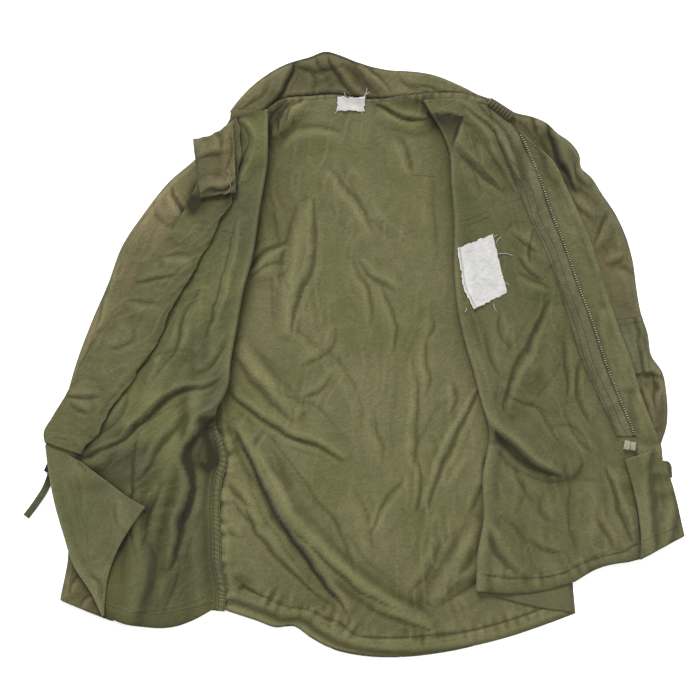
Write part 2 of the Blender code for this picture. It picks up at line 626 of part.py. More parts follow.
def build():
    """Every piece, from the floor up."""
    clear()
    bed = Bed()
    seam, back_right = build_back(bed)
    build_sleeve("right_sleeve", RIGHT_SLEEVE, RIGHT_SLEEVE_FOLDS, OUTSIDE, -1, bed)
    build_sleeve("left_sleeve", LEFT_SLEEVE, LEFT_SLEEVE_FOLDS, OUTSIDE_DARK, 1, bed)
    build_strap(bed)
    laid("neck_label", NECK_LABEL, 4, 2, THIN, WHITE, bed)
    laid("pencil_pocket", PENCIL_POCKET, 4, 6, CLOTH, INSIDE, bed)
    laid("left_cuff_tab", CUFF_TAB, 4, 3, DOUBLE, OUTSIDE_DARK, bed, 2.0)
    build_right_front(bed, seam)
    build_left_front(bed, back_right)
    laid("shoulder_band", SHOULDER_BAND, 24, 3, THIN, OUTSIDE, bed, 4.0, SHOULDER_PLEATS)


build()
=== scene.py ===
"""The flight shirt: worn olive cotton, laid open on its back with the inside up and both fronts
spread over the sleeves.

Sizes are millimetres unless a name says otherwise. The wearer's right front lies at -X and the left
front at +X.
"""
import math

import bpy
import numpy as np
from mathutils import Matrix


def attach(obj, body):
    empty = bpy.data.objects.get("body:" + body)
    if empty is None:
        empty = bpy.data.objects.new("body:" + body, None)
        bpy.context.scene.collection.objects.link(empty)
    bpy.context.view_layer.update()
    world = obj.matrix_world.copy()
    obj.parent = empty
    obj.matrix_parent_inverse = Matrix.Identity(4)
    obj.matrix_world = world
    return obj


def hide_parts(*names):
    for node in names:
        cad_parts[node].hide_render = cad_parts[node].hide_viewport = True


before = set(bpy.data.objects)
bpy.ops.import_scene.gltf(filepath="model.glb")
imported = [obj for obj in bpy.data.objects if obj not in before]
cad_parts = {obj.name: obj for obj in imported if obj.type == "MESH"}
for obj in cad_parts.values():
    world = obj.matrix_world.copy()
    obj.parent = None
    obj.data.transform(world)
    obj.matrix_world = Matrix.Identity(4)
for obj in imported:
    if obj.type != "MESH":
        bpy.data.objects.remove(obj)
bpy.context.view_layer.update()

# --------------------------------------------------------------------------------------------------
# Camera, light and floor
# The shirt is seen from straight above, flat on white paper. A soft light comes from beyond the
# collar, and a second, much softer one from above.
# --------------------------------------------------------------------------------------------------
MM = 0.001
MIDDLE = np.array((0.2, -0.85))  # the solids' middle, in the plan used for all the rails below
VIEW_WIDE = 940.8
CAMERA_HIGH = 3200.0


def to_linear(code):
    """An sRGB hex colour as linear red, green and blue with full alpha."""
    parts = [int(code[k : k + 2], 16) / 255 for k in (1, 3, 5)]
    return [c / 12.92 if c <= 0.04045 else ((c + 0.055) / 1.055) ** 2.4 for c in parts] + [1.0]


def add_node(tree, kind, inputs=None, **settings):
    """A node with its settings; inputs maps a socket to a value, or to another node's output."""
    made = tree.nodes.new(kind)
    for key, value in settings.items():
        setattr(made, key, value)
    for key, value in (inputs or {}).items():
        if isinstance(value, bpy.types.NodeSocket):
            tree.links.new(value, made.inputs[key])
        else:
            made.inputs[key].default_value = value
    return made


def new_material(name):
    """A material, its node tree, its shader and the place of each point on the object."""
    paint = bpy.data.materials.new(name)
    paint.use_nodes = True
    tree = paint.node_tree
    spot = add_node(tree, "ShaderNodeTexCoord").outputs["Object"]
    return paint, tree, tree.nodes["Principled BSDF"], spot


def add_object(name, data):
    """A new object in the scene."""
    made = bpy.data.objects.new(name, data)
    bpy.context.scene.collection.objects.link(made)
    return made


camera_data = bpy.data.cameras.new("photo_camera")
camera_data.sensor_width = 36.0
camera_data.lens = 36.0 * (CAMERA_HIGH - 8.0) / VIEW_WIDE
camera = add_object("photo_camera", camera_data)
camera.location = ((-6.7 + MIDDLE[0]) * MM, (5.4 + MIDDLE[1]) * MM, CAMERA_HIGH * MM)
bpy.context.scene.camera = camera

# direction it comes from, softness as the angle it fills, strength
for name, place, angle, power in (
    ("window_light", (-0.22, 1.0, 0.82), 24.0, 4.4),
    ("ceiling_light", (0.4, -0.3, 2.0), 70.0, 1.5),
):
    light = bpy.data.lights.new(name, "SUN")
    light.angle = math.radians(angle)
    light.energy = power
    lamp = add_object(name, light)
    lamp.location = place
    lamp.rotation_mode = "QUATERNION"
    lamp.rotation_quaternion = lamp.location.to_track_quat("Z", "Y")

world = bpy.data.worlds.new("studio")
world.use_nodes = True
world.node_tree.nodes["Background"].inputs["Color"].default_value = to_linear("#f0f5ed")
world.node_tree.nodes["Background"].inputs["Strength"].default_value = 0.82
bpy.context.scene.world = world
bpy.context.scene.view_settings.view_transform = "Standard"

bpy.ops.object.select_all(action="DESELECT")
bpy.ops.mesh.primitive_plane_add(size=12.0, location=(0.0, 0.0, -0.0004))
floor = bpy.context.object
floor.name = "floor"
bpy.ops.object.transform_apply(location=True, rotation=True, scale=True)
# matt white paper, faintly lit from below so that it stays white: a slight tooth keeps it from
# looking like plastic
paper, tree, shader, spot = new_material("matt_paper")
tooth = add_node(tree, "ShaderNodeTexNoise", {"Vector": spot, "Scale": 300.0, "Detail": 3.0})
white = add_node(tree, "ShaderNodeValToRGB", {"Fac": tooth.outputs["Fac"]})
white.color_ramp.elements[0].color = to_linear("#f6f6f5")
white.color_ramp.elements[1].color = to_linear("#fcfcfc")
tree.links.new(white.outputs["Color"], shader.inputs["Base Color"])
shader.inputs["Roughness"].default_value = 0.9
shader.inputs["Emission Color"].default_value = to_linear("#ffffff")
shader.inputs["Emission Strength"].default_value = 0.07
floor.data.materials.append(paper)

# --------------------------------------------------------------------------------------------------
# Back panel
# One piece of plain-weave cotton from hem to neck, lying on the floor. The side seam joins it to
# the right front; its other edge is hidden under the left front. The hem is turned and stitched.
# --------------------------------------------------------------------------------------------------
ROWS = 216  # rows of squares from hem to neck
TURN_ROW = 78  # the row where the right front's turned corner starts
CLOTH, DOUBLE, THIN = 1.0, 1.7, 0.6  # walls: one ply, two plies sewn as one, and thin tape
GAP = 0.35  # air between pieces
FINE = 3.4  # size of one square of the cloth's mesh
NET = 2.5  # spacing of the net of heights on which the pieces are laid
SAG_SHARE = 0.12  # share of the rows, from the hem, over which its bow fades out
SETTLE = 1.6  # how sharply low heights are eased up to zero
SHADE_STEPS = 40  # parts of a line along which shade gathers


def bump(x, middle, wide):
    """A smooth hump of height 1 at the middle."""
    return np.exp(-(((x - middle) / wide) ** 2))


def ramp(x, start, length):
    """Rises from 0 at the start to 1 a length further on; a negative length runs the other way."""
    return np.clip((x - start) / length, 0, 1)


def spline(points, count):
    """A smooth line through the points, cut into equal parts of its length."""
    points = np.array(points, float)
    steps = np.linalg.norm(np.diff(points[:, :2], axis=0), axis=1)
    at = np.concatenate([[0.0], np.cumsum(steps)]) / steps.sum()
    slope = np.gradient(points, at, axis=0)
    want = np.linspace(0.0, 1.0, count + 1)
    k = np.clip(np.searchsorted(at, want, side="right") - 1, 0, len(points) - 2)
    span = (at[k + 1] - at[k])[:, None]
    t = (want - at[k])[:, None] / span
    return (
        points[k] * (2 * t**3 - 3 * t**2 + 1)
        + points[k + 1] * (3 * t**2 - 2 * t**3)
        + slope[k] * span * (t**3 - 2 * t**2 + t)
        + slope[k + 1] * span * (t**3 - t**2)
    )


def heading(line):
    """Direction of a line at each of its points."""
    run = np.gradient(line, axis=0)
    return run / np.linalg.norm(run, axis=1)[:, None]


def two_part(low, high):
    """A rail in two parts that meet at the row where the right front's corner turns up."""
    return np.vstack([spline(low, TURN_ROW)[:-1], spline(high, ROWS - TURN_ROW)])


def weave(rails, counts, sag):
    """Rows of points strung across the rails; each span bows by its sag at the hem."""
    rows = len(rails[0]) - 1
    fade = ramp(np.linspace(0, 1, rows + 1), SAG_SHARE, -SAG_SHARE) ** 1.5
    columns = []
    for k, count in enumerate(counts):
        for j in range(count):
            f = j / count
            line = rails[k] * (1 - f) + rails[k + 1] * f
            line[:, 1] += sag[k] * math.sin(math.pi * f) * fade
            columns.append(line)
    columns.append(rails[-1].copy())
    return np.stack(columns, axis=1)


def fit_ends(net, hem, neck):
    """Bend a net so that its first row is the hem line and its last the neck line."""
    v = np.linspace(0, 1, len(net))[:, None, None]
    low, high = (hem - net[0])[None], (neck - net[-1])[None]
    return net + low * (1 - v) ** 1.6 + high * v**1.6


def along(flat, path):
    """For each point: distance run along the path, signed distance to its left, and its length."""
    best = np.full(flat.shape[:-1], 1e9)
    run, side = np.zeros_like(best), np.zeros_like(best)
    gone = 0.0
    for a, b in zip(path[:-1], path[1:]):
        step = b[:2] - a[:2]
        length = np.linalg.norm(step)
        step = step / length
        rel = flat[..., :2] - a[:2]
        s = np.clip(rel @ step, 0, length)
        away = np.linalg.norm(rel - s[..., None] * step, axis=-1)
        near = away < best
        best = np.where(near, away, best)
        run = np.where(near, gone + s, run)
        left = rel @ np.array((-step[1], step[0]))
        side = np.where(near, np.where(left >= 0, away, -away), side)
        gone += length
    return run, side, gone


def ripple(flat, size, seed, stretch=1.0, turn=0.0):
    """Smooth seeded waves from -1 to 1, about size across, stretched along the turned direction."""
    grid = np.random.RandomState(seed).rand(64, 64) * 2 - 1
    c, s = math.cos(math.radians(turn)), math.sin(math.radians(turn))
    x = (flat[..., 0] * c + flat[..., 1] * s) / size + 31.7
    y = (-flat[..., 0] * s + flat[..., 1] * c) / (size * stretch) + 17.3
    i, j = np.floor(x).astype(int), np.floor(y).astype(int)
    a, b = x - i, y - j
    a, b = a * a * (3 - 2 * a), b * b * (3 - 2 * b)
    here, right = i % 64, (i + 1) % 64
    low, high = j % 64, (j + 1) % 64
    near = grid[here, low] * (1 - a) + grid[right, low] * a
    far = grid[here, high] * (1 - a) + grid[right, high] * a
    return near * (1 - b) + far * b


def creased(flat, table):
    """Height of creases. Each row: height, width to the left, width to the right, then the crest's
    points. The narrower side falls steeply into a sharp furrow, and the wider one fades away."""
    z = np.zeros(flat.shape[:-1])
    waver_x = ripple(flat, 30, 201) * 4 + ripple(flat, 13, 202)
    bent = flat[..., :2] + np.stack([waver_x, ripple(flat, 30, 203) * 4], axis=-1)
    for number, (height, left, right, *points) in enumerate(table):
        path = spline(points, 18) if len(points) > 2 else np.array(points, float)
        run, side, length = along(bent, path)
        ends = np.sin(math.pi * np.clip(run / length, 0, 1)) ** 0.9
        steep = -1 if left > right else 1
        slope, fade = min(left, right), 1.5 * max(left, right)
        across = side * steep / (0.45 + 0.55 * ends)
        tail = np.clip(1 - np.abs(across) / (max(left, right) + 15), 0, 1) ** 1.6
        crest = np.where(across > 0, bump(across, 0, 0.75 * slope), tail)
        furrow = np.exp(-np.abs(across - 1.35 * slope) / max(2.6, 0.4 * slope))
        echo = np.exp(-np.abs(across + 1.25 * fade) / 4.5)
        echo += 0.6 * np.exp(-np.abs(across - 3.3 * slope) / 4.5)
        rough = ripple(np.stack([run, run * 0 + 50 * number], axis=-1), 24, 204)
        uneven = 1 + 0.4 * rough * np.exp(-np.abs(side) / 14)
        z += height * ends * uneven * (crest - 0.75 * furrow - 0.16 * echo)
    return z


def raised(flat, table):
    """Height of the panel's main folds: start x y, end x y, sideways bow, half width, height."""
    z = np.zeros(flat.shape[:-1])
    for x0, y0, x1, y1, bow, half, height in table:
        way = np.array((x1 - x0, y1 - y0))
        length = np.linalg.norm(way)
        way = way / length
        rel = flat[..., :2] - np.array((x0, y0))
        s = np.clip(rel @ way / length, 0, 1)
        side = rel @ np.array((-way[1], way[0])) - bow * 4 * s * (1 - s)
        across = np.cos(np.clip(side / half, -1, 1) * math.pi / 2) ** 2
        z += height * across * np.sin(math.pi * s) ** 0.7
    return z


def crumpled(flat, seed, turn=90.0, size=26.0, deep=1.6):
    """The small uneven rumples of washed cotton, longer along the turned direction."""
    bend = np.stack([ripple(flat, 60, seed + 5), ripple(flat, 60, seed + 6)], axis=-1) * 16
    bent = flat[..., :2] + bend
    broad = 0.5 + 0.5 * ripple(bent, 80, seed + 3, 1.6, turn - 90)
    soft = 0.5 + 0.5 * ripple(bent, size, seed, 3.4, turn - 90)
    fine = 1 - np.abs(ripple(bent, size * 0.45, seed + 1, 3.0, turn - 82))
    mask = 0.3 + 0.7 * np.clip(ripple(flat, 90, seed + 2) + 0.5, 0, 1)
    return deep * (1.3 * broad + mask * (soft * 0.8 + fine**2 * 0.35))


def puckered(flat, path, pitch, deep, reach, seed=3):
    """Small uneven pleats drawn up across a line of stitching, and the furrow along it."""
    run, side, length = along(flat, path)
    wave = ripple(np.stack([run, side * 0.3], axis=-1), pitch * 0.6, seed)
    ends = np.clip(np.minimum(run, length - run) / 10, 0, 1)
    return deep * ends * (wave * bump(side, 0, reach) - 0.6 * bump(side, 0, 2.6))


def settled(z):
    """Heights eased so that none lies below zero."""
    return np.log1p(np.exp(z * SETTLE)) / SETTLE


class Bed:
    """Heights of all that already lies there, held on a square net."""

    def __init__(self):
        self.x = np.arange(-470.0, 471.0, NET)
        self.y = np.arange(-430.0, 431.0, NET)
        self.z = np.zeros((len(self.x), len(self.y)))

    def lay(self, net, wall, closed=False):
        """Add a piece: the heights rise to its top side."""
        if closed:
            net = np.concatenate([net, net[:, :1]], axis=1)
        for a in np.linspace(0, 1, 5)[:-1]:
            for b in np.linspace(0, 1, 5)[:-1]:
                p = (net[:-1, :-1] * (1 - a) + net[1:, :-1] * a) * (1 - b)
                p = (p + (net[:-1, 1:] * (1 - a) + net[1:, 1:] * a) * b).reshape(-1, 3)
                i = np.clip(np.rint((p[:, 0] - self.x[0]) / NET).astype(int), 0, len(self.x) - 1)
                j = np.clip(np.rint((p[:, 1] - self.y[0]) / NET).astype(int), 0, len(self.y) - 1)
                np.maximum.at(self.z, (i, j), p[:, 2] + wall / 2)

    def over(self, flat, reach=8.0, soft=15.0):
        """Height that clears all within reach of each point, with its steps eased."""
        z = self.z.copy()
        for _ in range(round((reach + soft) / NET)):
            for axis in (0, 1):
                z = np.maximum(z, np.maximum(np.roll(z, 1, axis), np.roll(z, -1, axis)))
        for _ in range(max(1, round(soft / NET))):
            for axis in (0, 1):
                z = (z + np.roll(z, 1, axis) + np.roll(z, -1, axis)) / 3
        i = np.clip((flat[..., 0] - self.x[0]) / NET, 0, len(self.x) - 1.001)
        j = np.clip((flat[..., 1] - self.y[0]) / NET, 0, len(self.y) - 1.001)
        i0, j0 = i.astype(int), j.astype(int)
        a, b = i - i0, j - j0
        near = z[i0, j0] * (1 - a) + z[i0 + 1, j0] * a
        far = z[i0, j0 + 1] * (1 - a) + z[i0 + 1, j0 + 1] * a
        return near * (1 - b) + far * b

    def seat(self, flat, wall, reach, soft):
        """Height of the middle of a wall that lies on all this with a little air between."""
        return self.over(flat, reach, soft) + GAP + wall / 2


bed = Bed()


def lifted(flat, z):
    """The net's plan with its heights."""
    return np.concatenate([flat[..., :2], z[..., None]], axis=-1)


def squares(index, closed=False):
    """Four-cornered faces between the rows and columns of an index net."""
    if closed:
        index = np.concatenate([index, index[:, :1]], axis=1)
    corners = [index[:-1, :-1], index[:-1, 1:], index[1:, 1:], index[1:, :-1]]
    return np.stack(corners, axis=-1).reshape(-1, 4)


def painted_crease_shade(net):
    """How deep each point lies below the cloth round it, as painted shade in its creases."""
    z = net[..., 2].copy()
    deep = np.zeros_like(z)
    for step in range(12):
        p = np.pad(z, 1, mode="edge")
        z = (p[:-2, 1:-1] + p[2:, 1:-1] + p[1:-1, :-2] + p[1:-1, 2:] + z) / 5
        if step in (1, 11):
            deep += np.clip((z - net[..., 2]) / (0.4 if step == 1 else 2.4), -0.5, 0.8)
    return np.clip(deep, -1, 1)


def beside(flat, path, reach):
    """Shade that gathers along a path and fades with distance from it."""
    _, away, _ = along(flat, path)
    return np.exp(-np.abs(away) / reach)


def shaded(flat, lines=(), spots=()):
    """Shade beside lines (strength, reach, then points) and in soft spots (strength, middle x, y,
    half width, half height); a negative strength lightens."""
    shade = np.zeros(flat.shape[:-1])
    for strength, reach, *points in lines:
        shade += strength * beside(flat, spline(points, SHADE_STEPS), reach)
    for strength, x, y, wide, high in spots:
        shade += strength * bump(flat[..., 0], x, wide) * bump(flat[..., 1], y, high)
    return shade


def cloth(name, nets, wall, paints, closed=False, joined=(), shade=0.0):
    """A thin sheet of cloth from one or more nets; joined holds extra faces between them, and shade
    darkens the first."""
    points, faces, uv, deep, first = [], list(joined), [], [], 0
    for net in nets:
        rows, columns = net.shape[:2]
        faces.append(squares(np.arange(rows * columns).reshape(rows, columns) + first, closed))
        points.append(net.reshape(-1, 3))
        deep.append((painted_crease_shade(net) + (0 if deep else shade)).reshape(-1))
        step = np.linalg.norm(np.diff(net, axis=1), axis=2).mean(axis=0)
        rise = np.linalg.norm(np.diff(net, axis=0), axis=2).mean(axis=1)
        u = np.concatenate([[0], np.cumsum(step)]) * MM
        v = np.concatenate([[0], np.cumsum(rise)]) * MM
        uv.append(np.stack(np.meshgrid(u, v), axis=-1).reshape(-1, 2))
        first += rows * columns
    points, faces = np.vstack(points), np.vstack(faces)
    mesh = bpy.data.meshes.new(name)
    moved = points.copy()
    moved[:, :2] += MIDDLE
    mesh.from_pydata((moved * MM).tolist(), [], faces.tolist())
    corners = np.vstack(uv)[faces.reshape(-1)].astype(np.float32)
    mesh.uv_layers.new(name="UVMap")
    mesh.uv_layers[0].data.foreach_set("uv", corners.reshape(-1))
    # painted shade for the material: that of the creases, plus the shade given
    painted_shade = mesh.attributes.new("painted_shade", "FLOAT", "POINT")
    painted_shade.data.foreach_set("value", np.concatenate(deep).astype(np.float32))
    mesh.polygons.foreach_set("use_smooth", np.ones(len(faces), bool))
    piece = add_object(name, mesh)
    shell = piece.modifiers.new("wall", "SOLIDIFY")
    shell.thickness = wall * MM
    shell.offset = 0.0
    shell.use_even_offset = False
    for paint in paints:
        mesh.materials.append(paint)
    shell.material_offset = len(paints) - 1
    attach(piece, "root")
    return piece


def cotton(name, light, dark, worn, grain=1.0, turn=0.2):
    """Worn plain-weave cotton: matt, a little fuzzy, mottled by wear, with painted shade in its
    creases.
    """
    paint, tree, shader, spot = new_material(name)
    # blotches of uneven fading, 60 to 150 mm across
    blotch = add_node(
        tree, "ShaderNodeTexNoise", {"Vector": spot, "Scale": 8.0, "Detail": 4.0, "Roughness": 0.6}
    )
    fade = add_node(tree, "ShaderNodeValToRGB", {"Fac": blotch.outputs["Fac"]})
    for end, at, colour in zip(fade.color_ramp.elements, (0.34, 0.68), (dark, light)):
        end.position, end.color = at, to_linear(colour)
    # browner patches where it has rubbed and faded
    rub = add_node(
        tree,
        "ShaderNodeTexNoise",
        {"Vector": spot, "Scale": 17.0, "Detail": 5.0, "Roughness": 0.65},
    )
    rub_share = add_node(
        tree,
        "ShaderNodeMapRange",
        {"Value": rub.outputs["Fac"], "From Min": 0.5, "From Max": 0.78, "To Max": 0.55},
    )
    tone = add_node(
        tree,
        "ShaderNodeMix",
        {"Factor": rub_share.outputs["Result"], 6: fade.outputs["Color"], 7: to_linear(worn)},
        data_type="RGBA",
    )
    # slubs and specks of the yarn, about 1.5 mm, coarser than the real threads so that they show
    speck = add_node(
        tree,
        "ShaderNodeTexNoise",
        {"Vector": spot, "Scale": 400.0, "Detail": 3.0, "Roughness": 0.75},
    )
    speck_range = {"Value": speck.outputs["Fac"], "From Min": 0.3, "From Max": 0.7}
    speck_range.update({"To Min": 1.16 - 0.25 * grain, "To Max": 1.16 + 0.25 * grain})
    speck_tone = add_node(tree, "ShaderNodeMapRange", speck_range)
    # painted shade: in creases and under edges the colour is darkened to a deeper olive
    painted_shade = add_node(tree, "ShaderNodeAttribute", attribute_name="painted_shade")
    depth = add_node(
        tree,
        "ShaderNodeMapRange",
        {"Value": painted_shade.outputs["Fac"], "From Min": -1.0, "From Max": 2.0},
    )
    deep = add_node(tree, "ShaderNodeValToRGB", {"Fac": depth.outputs["Result"]})
    deep.color_ramp.elements[0].color = (1.0, 1.0, 1.0, 1.0)
    deep.color_ramp.elements[1].color = (0.14, 0.135, 0.08, 1.0)
    for at, colour in ((0.333, (0.72, 0.72, 0.70, 1.0)), (0.667, (0.405, 0.395, 0.295, 1.0))):
        deep.color_ramp.elements.new(at).color = colour
    tone_in_painted_shade = add_node(
        tree,
        "ShaderNodeVectorMath",
        {0: tone.outputs[2], 1: deep.outputs["Color"]},
        operation="MULTIPLY",
    )
    colour = add_node(
        tree,
        "ShaderNodeVectorMath",
        {0: tone_in_painted_shade.outputs["Vector"], "Scale": speck_tone.outputs["Result"]},
        operation="SCALE",
    )
    tree.links.new(colour.outputs["Vector"], shader.inputs["Base Color"])
    # plain weave: warp and weft ribs, drawn at 1.5 mm
    threads = add_node(tree, "ShaderNodeUVMap", uv_map="UVMap")
    warp, weft = [
        add_node(
            tree,
            "ShaderNodeTexWave",
            {"Vector": threads.outputs["UV"], "Scale": 105.0, "Distortion": 1.2, "Detail": 1.0},
            bands_direction=direction,
        )
        for direction in ("X", "Y")
    ]
    ribs = add_node(
        tree,
        "ShaderNodeMath",
        {0: warp.outputs["Fac"], 1: weft.outputs["Fac"]},
        operation="MULTIPLY",
    )
    height = add_node(
        tree, "ShaderNodeMath", {0: ribs.outputs["Value"], 1: speck.outputs["Fac"]}, operation="ADD"
    )
    # wrinkles too small for the mesh: long shallow ones from wear, and 6 to 12 mm ones from washing
    bend = add_node(tree, "ShaderNodeTexNoise", {"Vector": spot, "Scale": 9.0, "Detail": 2.0})
    bent = add_node(
        tree,
        "ShaderNodeVectorMath",
        {0: bend.outputs["Color"], 1: (0.07, 0.07, 0.0), 2: spot},
        operation="MULTIPLY_ADD",
    )
    drawn = add_node(
        tree,
        "ShaderNodeMapping",
        {"Vector": bent.outputs["Vector"], "Rotation": (0.0, 0.0, turn), "Scale": (2.3, 1.0, 1.0)},
    )
    wear = add_node(
        tree,
        "ShaderNodeTexNoise",
        {"Vector": drawn.outputs["Vector"], "Scale": 21.0, "Detail": 4.0, "Roughness": 0.55},
        noise_type="RIDGED_MULTIFRACTAL",
    )
    wash = add_node(
        tree,
        "ShaderNodeTexNoise",
        {"Vector": spot, "Scale": 95.0, "Detail": 4.0, "Distortion": 0.8},
    )
    # each bump lies on the one before: its pattern, strength and depth in metres
    normal = None
    for pattern, strength, distance in (
        (wear.outputs["Fac"], 0.8, 0.004),
        (wash.outputs["Fac"], 0.8, 0.0025),
        (height.outputs["Value"], 0.4, 0.0003),
    ):
        inputs = {"Height": pattern, "Strength": strength, "Distance": distance}
        if normal is not None:
            inputs["Normal"] = normal
        normal = add_node(tree, "ShaderNodeBump", inputs).outputs["Normal"]
    tree.links.new(normal, shader.inputs["Normal"])
    shader.inputs["Roughness"].default_value = 0.92
    shader.inputs["Specular IOR Level"].default_value = 0.25
    shader.inputs["Sheen Weight"].default_value = 0.12
    shader.inputs["Sheen Roughness"].default_value = 0.5
    return paint


# inside of the back: kept from the light, an even olive
inside = cotton("cotton_inside_back", "#5b573d", "#4e4d2e", "#5f5539")
# inside of the fronts and their facings: darker and greener than the back's
inside_front = cotton("cotton_inside_front", "#514e35", "#454529", "#554d32", 1.0, 1.3)
# outside of the cotton: bleached by sun and wash to a brownish olive
outside = cotton("cotton_outside", "#554e36", "#44422b", "#574a34")
# outside of the right sleeve, lighter and browner than the rest
outside_lighter = cotton("cotton_outside_lighter", "#635b41", "#504c33", "#66553d")

SIDE_SEAM = [
    (-180, -346), (-178, -318), (-184, -282), (-185, -240), (-186, -200), (-182, -165),
    (-176, -145), (-179, -122), (-186, -100),
]
BACK_LEFT = [
    (-186, -100), (-187, -84), (-188, -64), (-191, -38), (-190, 5), (-186, 55), (-184.6, 120),
    (-184, 200), (-183.4, 262), (-182, 294), (-172, 310), (-166, 321),
]
BACK_RIGHT = [
    (297, -349), (291, -290), (277, -200), (254, -110), (238, -40), (229, 20), (223, 80),
    (217, 150), (210, 220), (204, 280), (197, 322), (180, 340),
]
BACK_HEM = [
    (-168, -331), (-152, -337), (-120, -349), (-98, -358), (-72, -358), (-50, -374), (-20, -391),
    (20, -401), (60, -404), (120, -400), (200, -383), (260, -363), (297, -349),
]
NECK = [
    (-166, 321), (-140, 321), (-120, 329), (-100, 342), (-60, 347), (-30, 349), (20, 343),
    (80, 349), (120, 352), (150, 350), (180, 340),
]
# start x, start y, end x, end y, sideways bow, half width, height: the same main folds as the solid
BACK_FOLDS = [
    (-162, -88, -8, -345, -6, 19, 5.0),
    (-132, -118, 104, -366, -38, 20, 5.0),
    (168, -222, 98, -334, 4, 18, 4.0),
    (-60, 208, -92, 22, -9, 18, 3.5),
    (-158, 16, -72, -82, -6, 18, 4.0),
    (28, 328, 104, 308, -5, 16, 3.0),
    (-118, 284, -74, 338, 4, 17, 4.0),
]
# height, width to the left, width to the right, then the crest's points
BACK_CREASES = [
    (8.0, 26, 8, (-160, -90), (-132, -148), (-92, -220), (-50, -280), (-24, -322), (-6, -352)),
    (5.5, 22, 7, (-166, -48), (-128, -78), (-92, -98), (-56, -116), (-8, -142)),
    (1.7, 14, 6, (-166, -168), (-146, -196), (-124, -242), (-76, -290), (-30, -338)),
    (3.7, 18, 9, (-134, -124), (-104, -172), (-84, -212), (-62, -240), (-30, -272), (0, -300),
     (30, -322), (66, -340)),
    (1.7, 12, 6, (18, -338), (66, -352), (104, -372)),
    (1.6, 8, 12, (74, 4), (74, -60), (73, -110), (70, -142), (79, -166), (78, -192), (73, -216)),
    (1.3, 10, 6, (68, -168), (56, -190), (40, -216), (24, -246)),
    (1.0, 8, 8, (18, -68), (19, -96), (24, -122), (30, -152)),
    (1.2, 7, 10, (92, 26), (90, -18), (88, -62)),
    (3.9, 8, 17, (166, -40), (146, -72), (126, -102), (110, -142), (101, -168), (90, -212)),
    (1.3, 7, 9, (102, 54), (94, 20)),
    (1.3, 8, 9, (130, -36), (119, -78)),
    (1.5, 8, 12, (166, -132), (164, -168), (158, -194), (144, -214)),
    (3.0, 14, 24, (182, -232), (160, -276), (136, -306), (108, -330)),
    (1.9, 8, 12, (-41, 252), (-30, 236), (-20, 216), (-6, 200), (9, 176), (24, 154)),
    (3.7, 8, 15, (-60, 210), (-61, 172), (-66, 142), (-71, 118), (-86, 88), (-89, 58), (-95, 22)),
    (1.3, 7, 9, (-10, 132), (-7, 106), (6, 84), (13, 60), (14, 34)),
    (1.4, 9, 8, (8, 134), (22, 114), (42, 104), (60, 84)),
    (1.3, 7, 9, (24, 102), (35, 76), (40, 54), (47, 30), (42, -2)),
    (3.1, 8, 14, (-142, 110), (-120, 124), (-102, 135), (-90, 144)),
    (1.4, 7, 10, (-142, 102), (-112, 112), (-90, 119)),
    (1.2, 9, 9, (-32, 42), (-46, 12), (-78, -10)),
    (1.2, 8, 10, (-32, -18), (-52, -42), (-74, -52)),
    (1.9, 9, 13, (45, 292), (58, 270), (68, 246), (78, 238)),
    (5.5, 12, 6, (26, 342), (44, 333), (64, 326), (100, 319)),
    (5.0, 6, 12, (-114, 290), (-105, 312), (-92, 336)),
    (3.7, 6, 10, (-102, 296), (-90, 320), (-74, 343)),
    (3.1, 5, 8, (-88, 310), (-78, 328), (-62, 345)),
    (1.4, 9, 14, (-102, 272), (-82, 286), (-60, 296), (-18, 292)),
    (1.9, 13, 8, (-158, -2), (-128, -32), (-102, -60), (-74, -88)),
    (1.5, 10, 8, (-172, -168), (-154, -182), (-132, -202)),
    (1.5, 9, 8, (-164, -192), (-142, -210), (-122, -232)),
    (1.5, 9, 8, (-172, -222), (-160, -232), (-146, -248)),
    (1.0, 16, 14, (-166, -286), (-142, -298), (-112, -322)),
    (1.2, 12, 12, (-128, 220), (-122, 160), (-96, 60)),
    (1.0, 14, 12, (-20, 276), (10, 230), (40, 180), (70, 150)),
    (1.0, 12, 12, (96, 250), (92, 190), (104, 120)),
    (1.0, 12, 14, (-8, -180), (0, -230), (20, -280)),
    (0.9, 12, 12, (-110, 40), (-60, 0), (-10, -60), (6, -110)),
    (1.0, 10, 12, (110, -240), (96, -280), (60, -316)),
]

HEM_STITCH = [
    (-155, -310), (-120, -328), (-98, -338), (-60, -345), (-45, -353), (-20, -362), (0, -377),
    (50, -381), (100, -379), (160, -371), (210, -358), (255, -341),
]
# where the right front lies over the back, and where the left front folds over it
FRONT_EDGE = [
    (-186, -100), (-178, -60), (-171, -44), (-167, -10), (-159, 35), (-150, 85), (-138, 130),
    (-128, 195), (-118, 258), (-117, 327),
]
FOLD_RAIL = [
    (163, -318), (165, -270), (173, -222), (172, -165), (181, -104), (170, -64), (159, -22),
    (147, 20), (138, 65), (134, 110), (134, 180), (130, 230), (128, 268), (116, 300), (100, 326),
    (92, 341),
]
# strength, reach, then the line's points
BACK_SHADE_LINES = [
    (1.3, 9.0, *FRONT_EDGE),
    (0.9, 9.0, *FOLD_RAIL),
    (1.5, 7.0, (-116, 290), (-108, 312), (-98, 336)),
    (1.1, 5.0, (28, 337), (45, 329), (65, 320), (96, 311)),
    (1.3, 5.0, (-170, -98), (-146, -136), (-104, -218), (-62, -281), (-30, -326)),
    (0.5, 5.0, (-168, -176), (-130, -240), (-80, -296), (-36, -345)),
    (0.6, 5.0, (-166, -54), (-130, -86), (-92, -107), (-56, -126)),
    (0.5, 5.0, (160, -45), (120, -105), (95, -170), (84, -212)),
    (0.65, 10.0, (176, -224), (150, -268), (106, -316), (78, -340)),
]
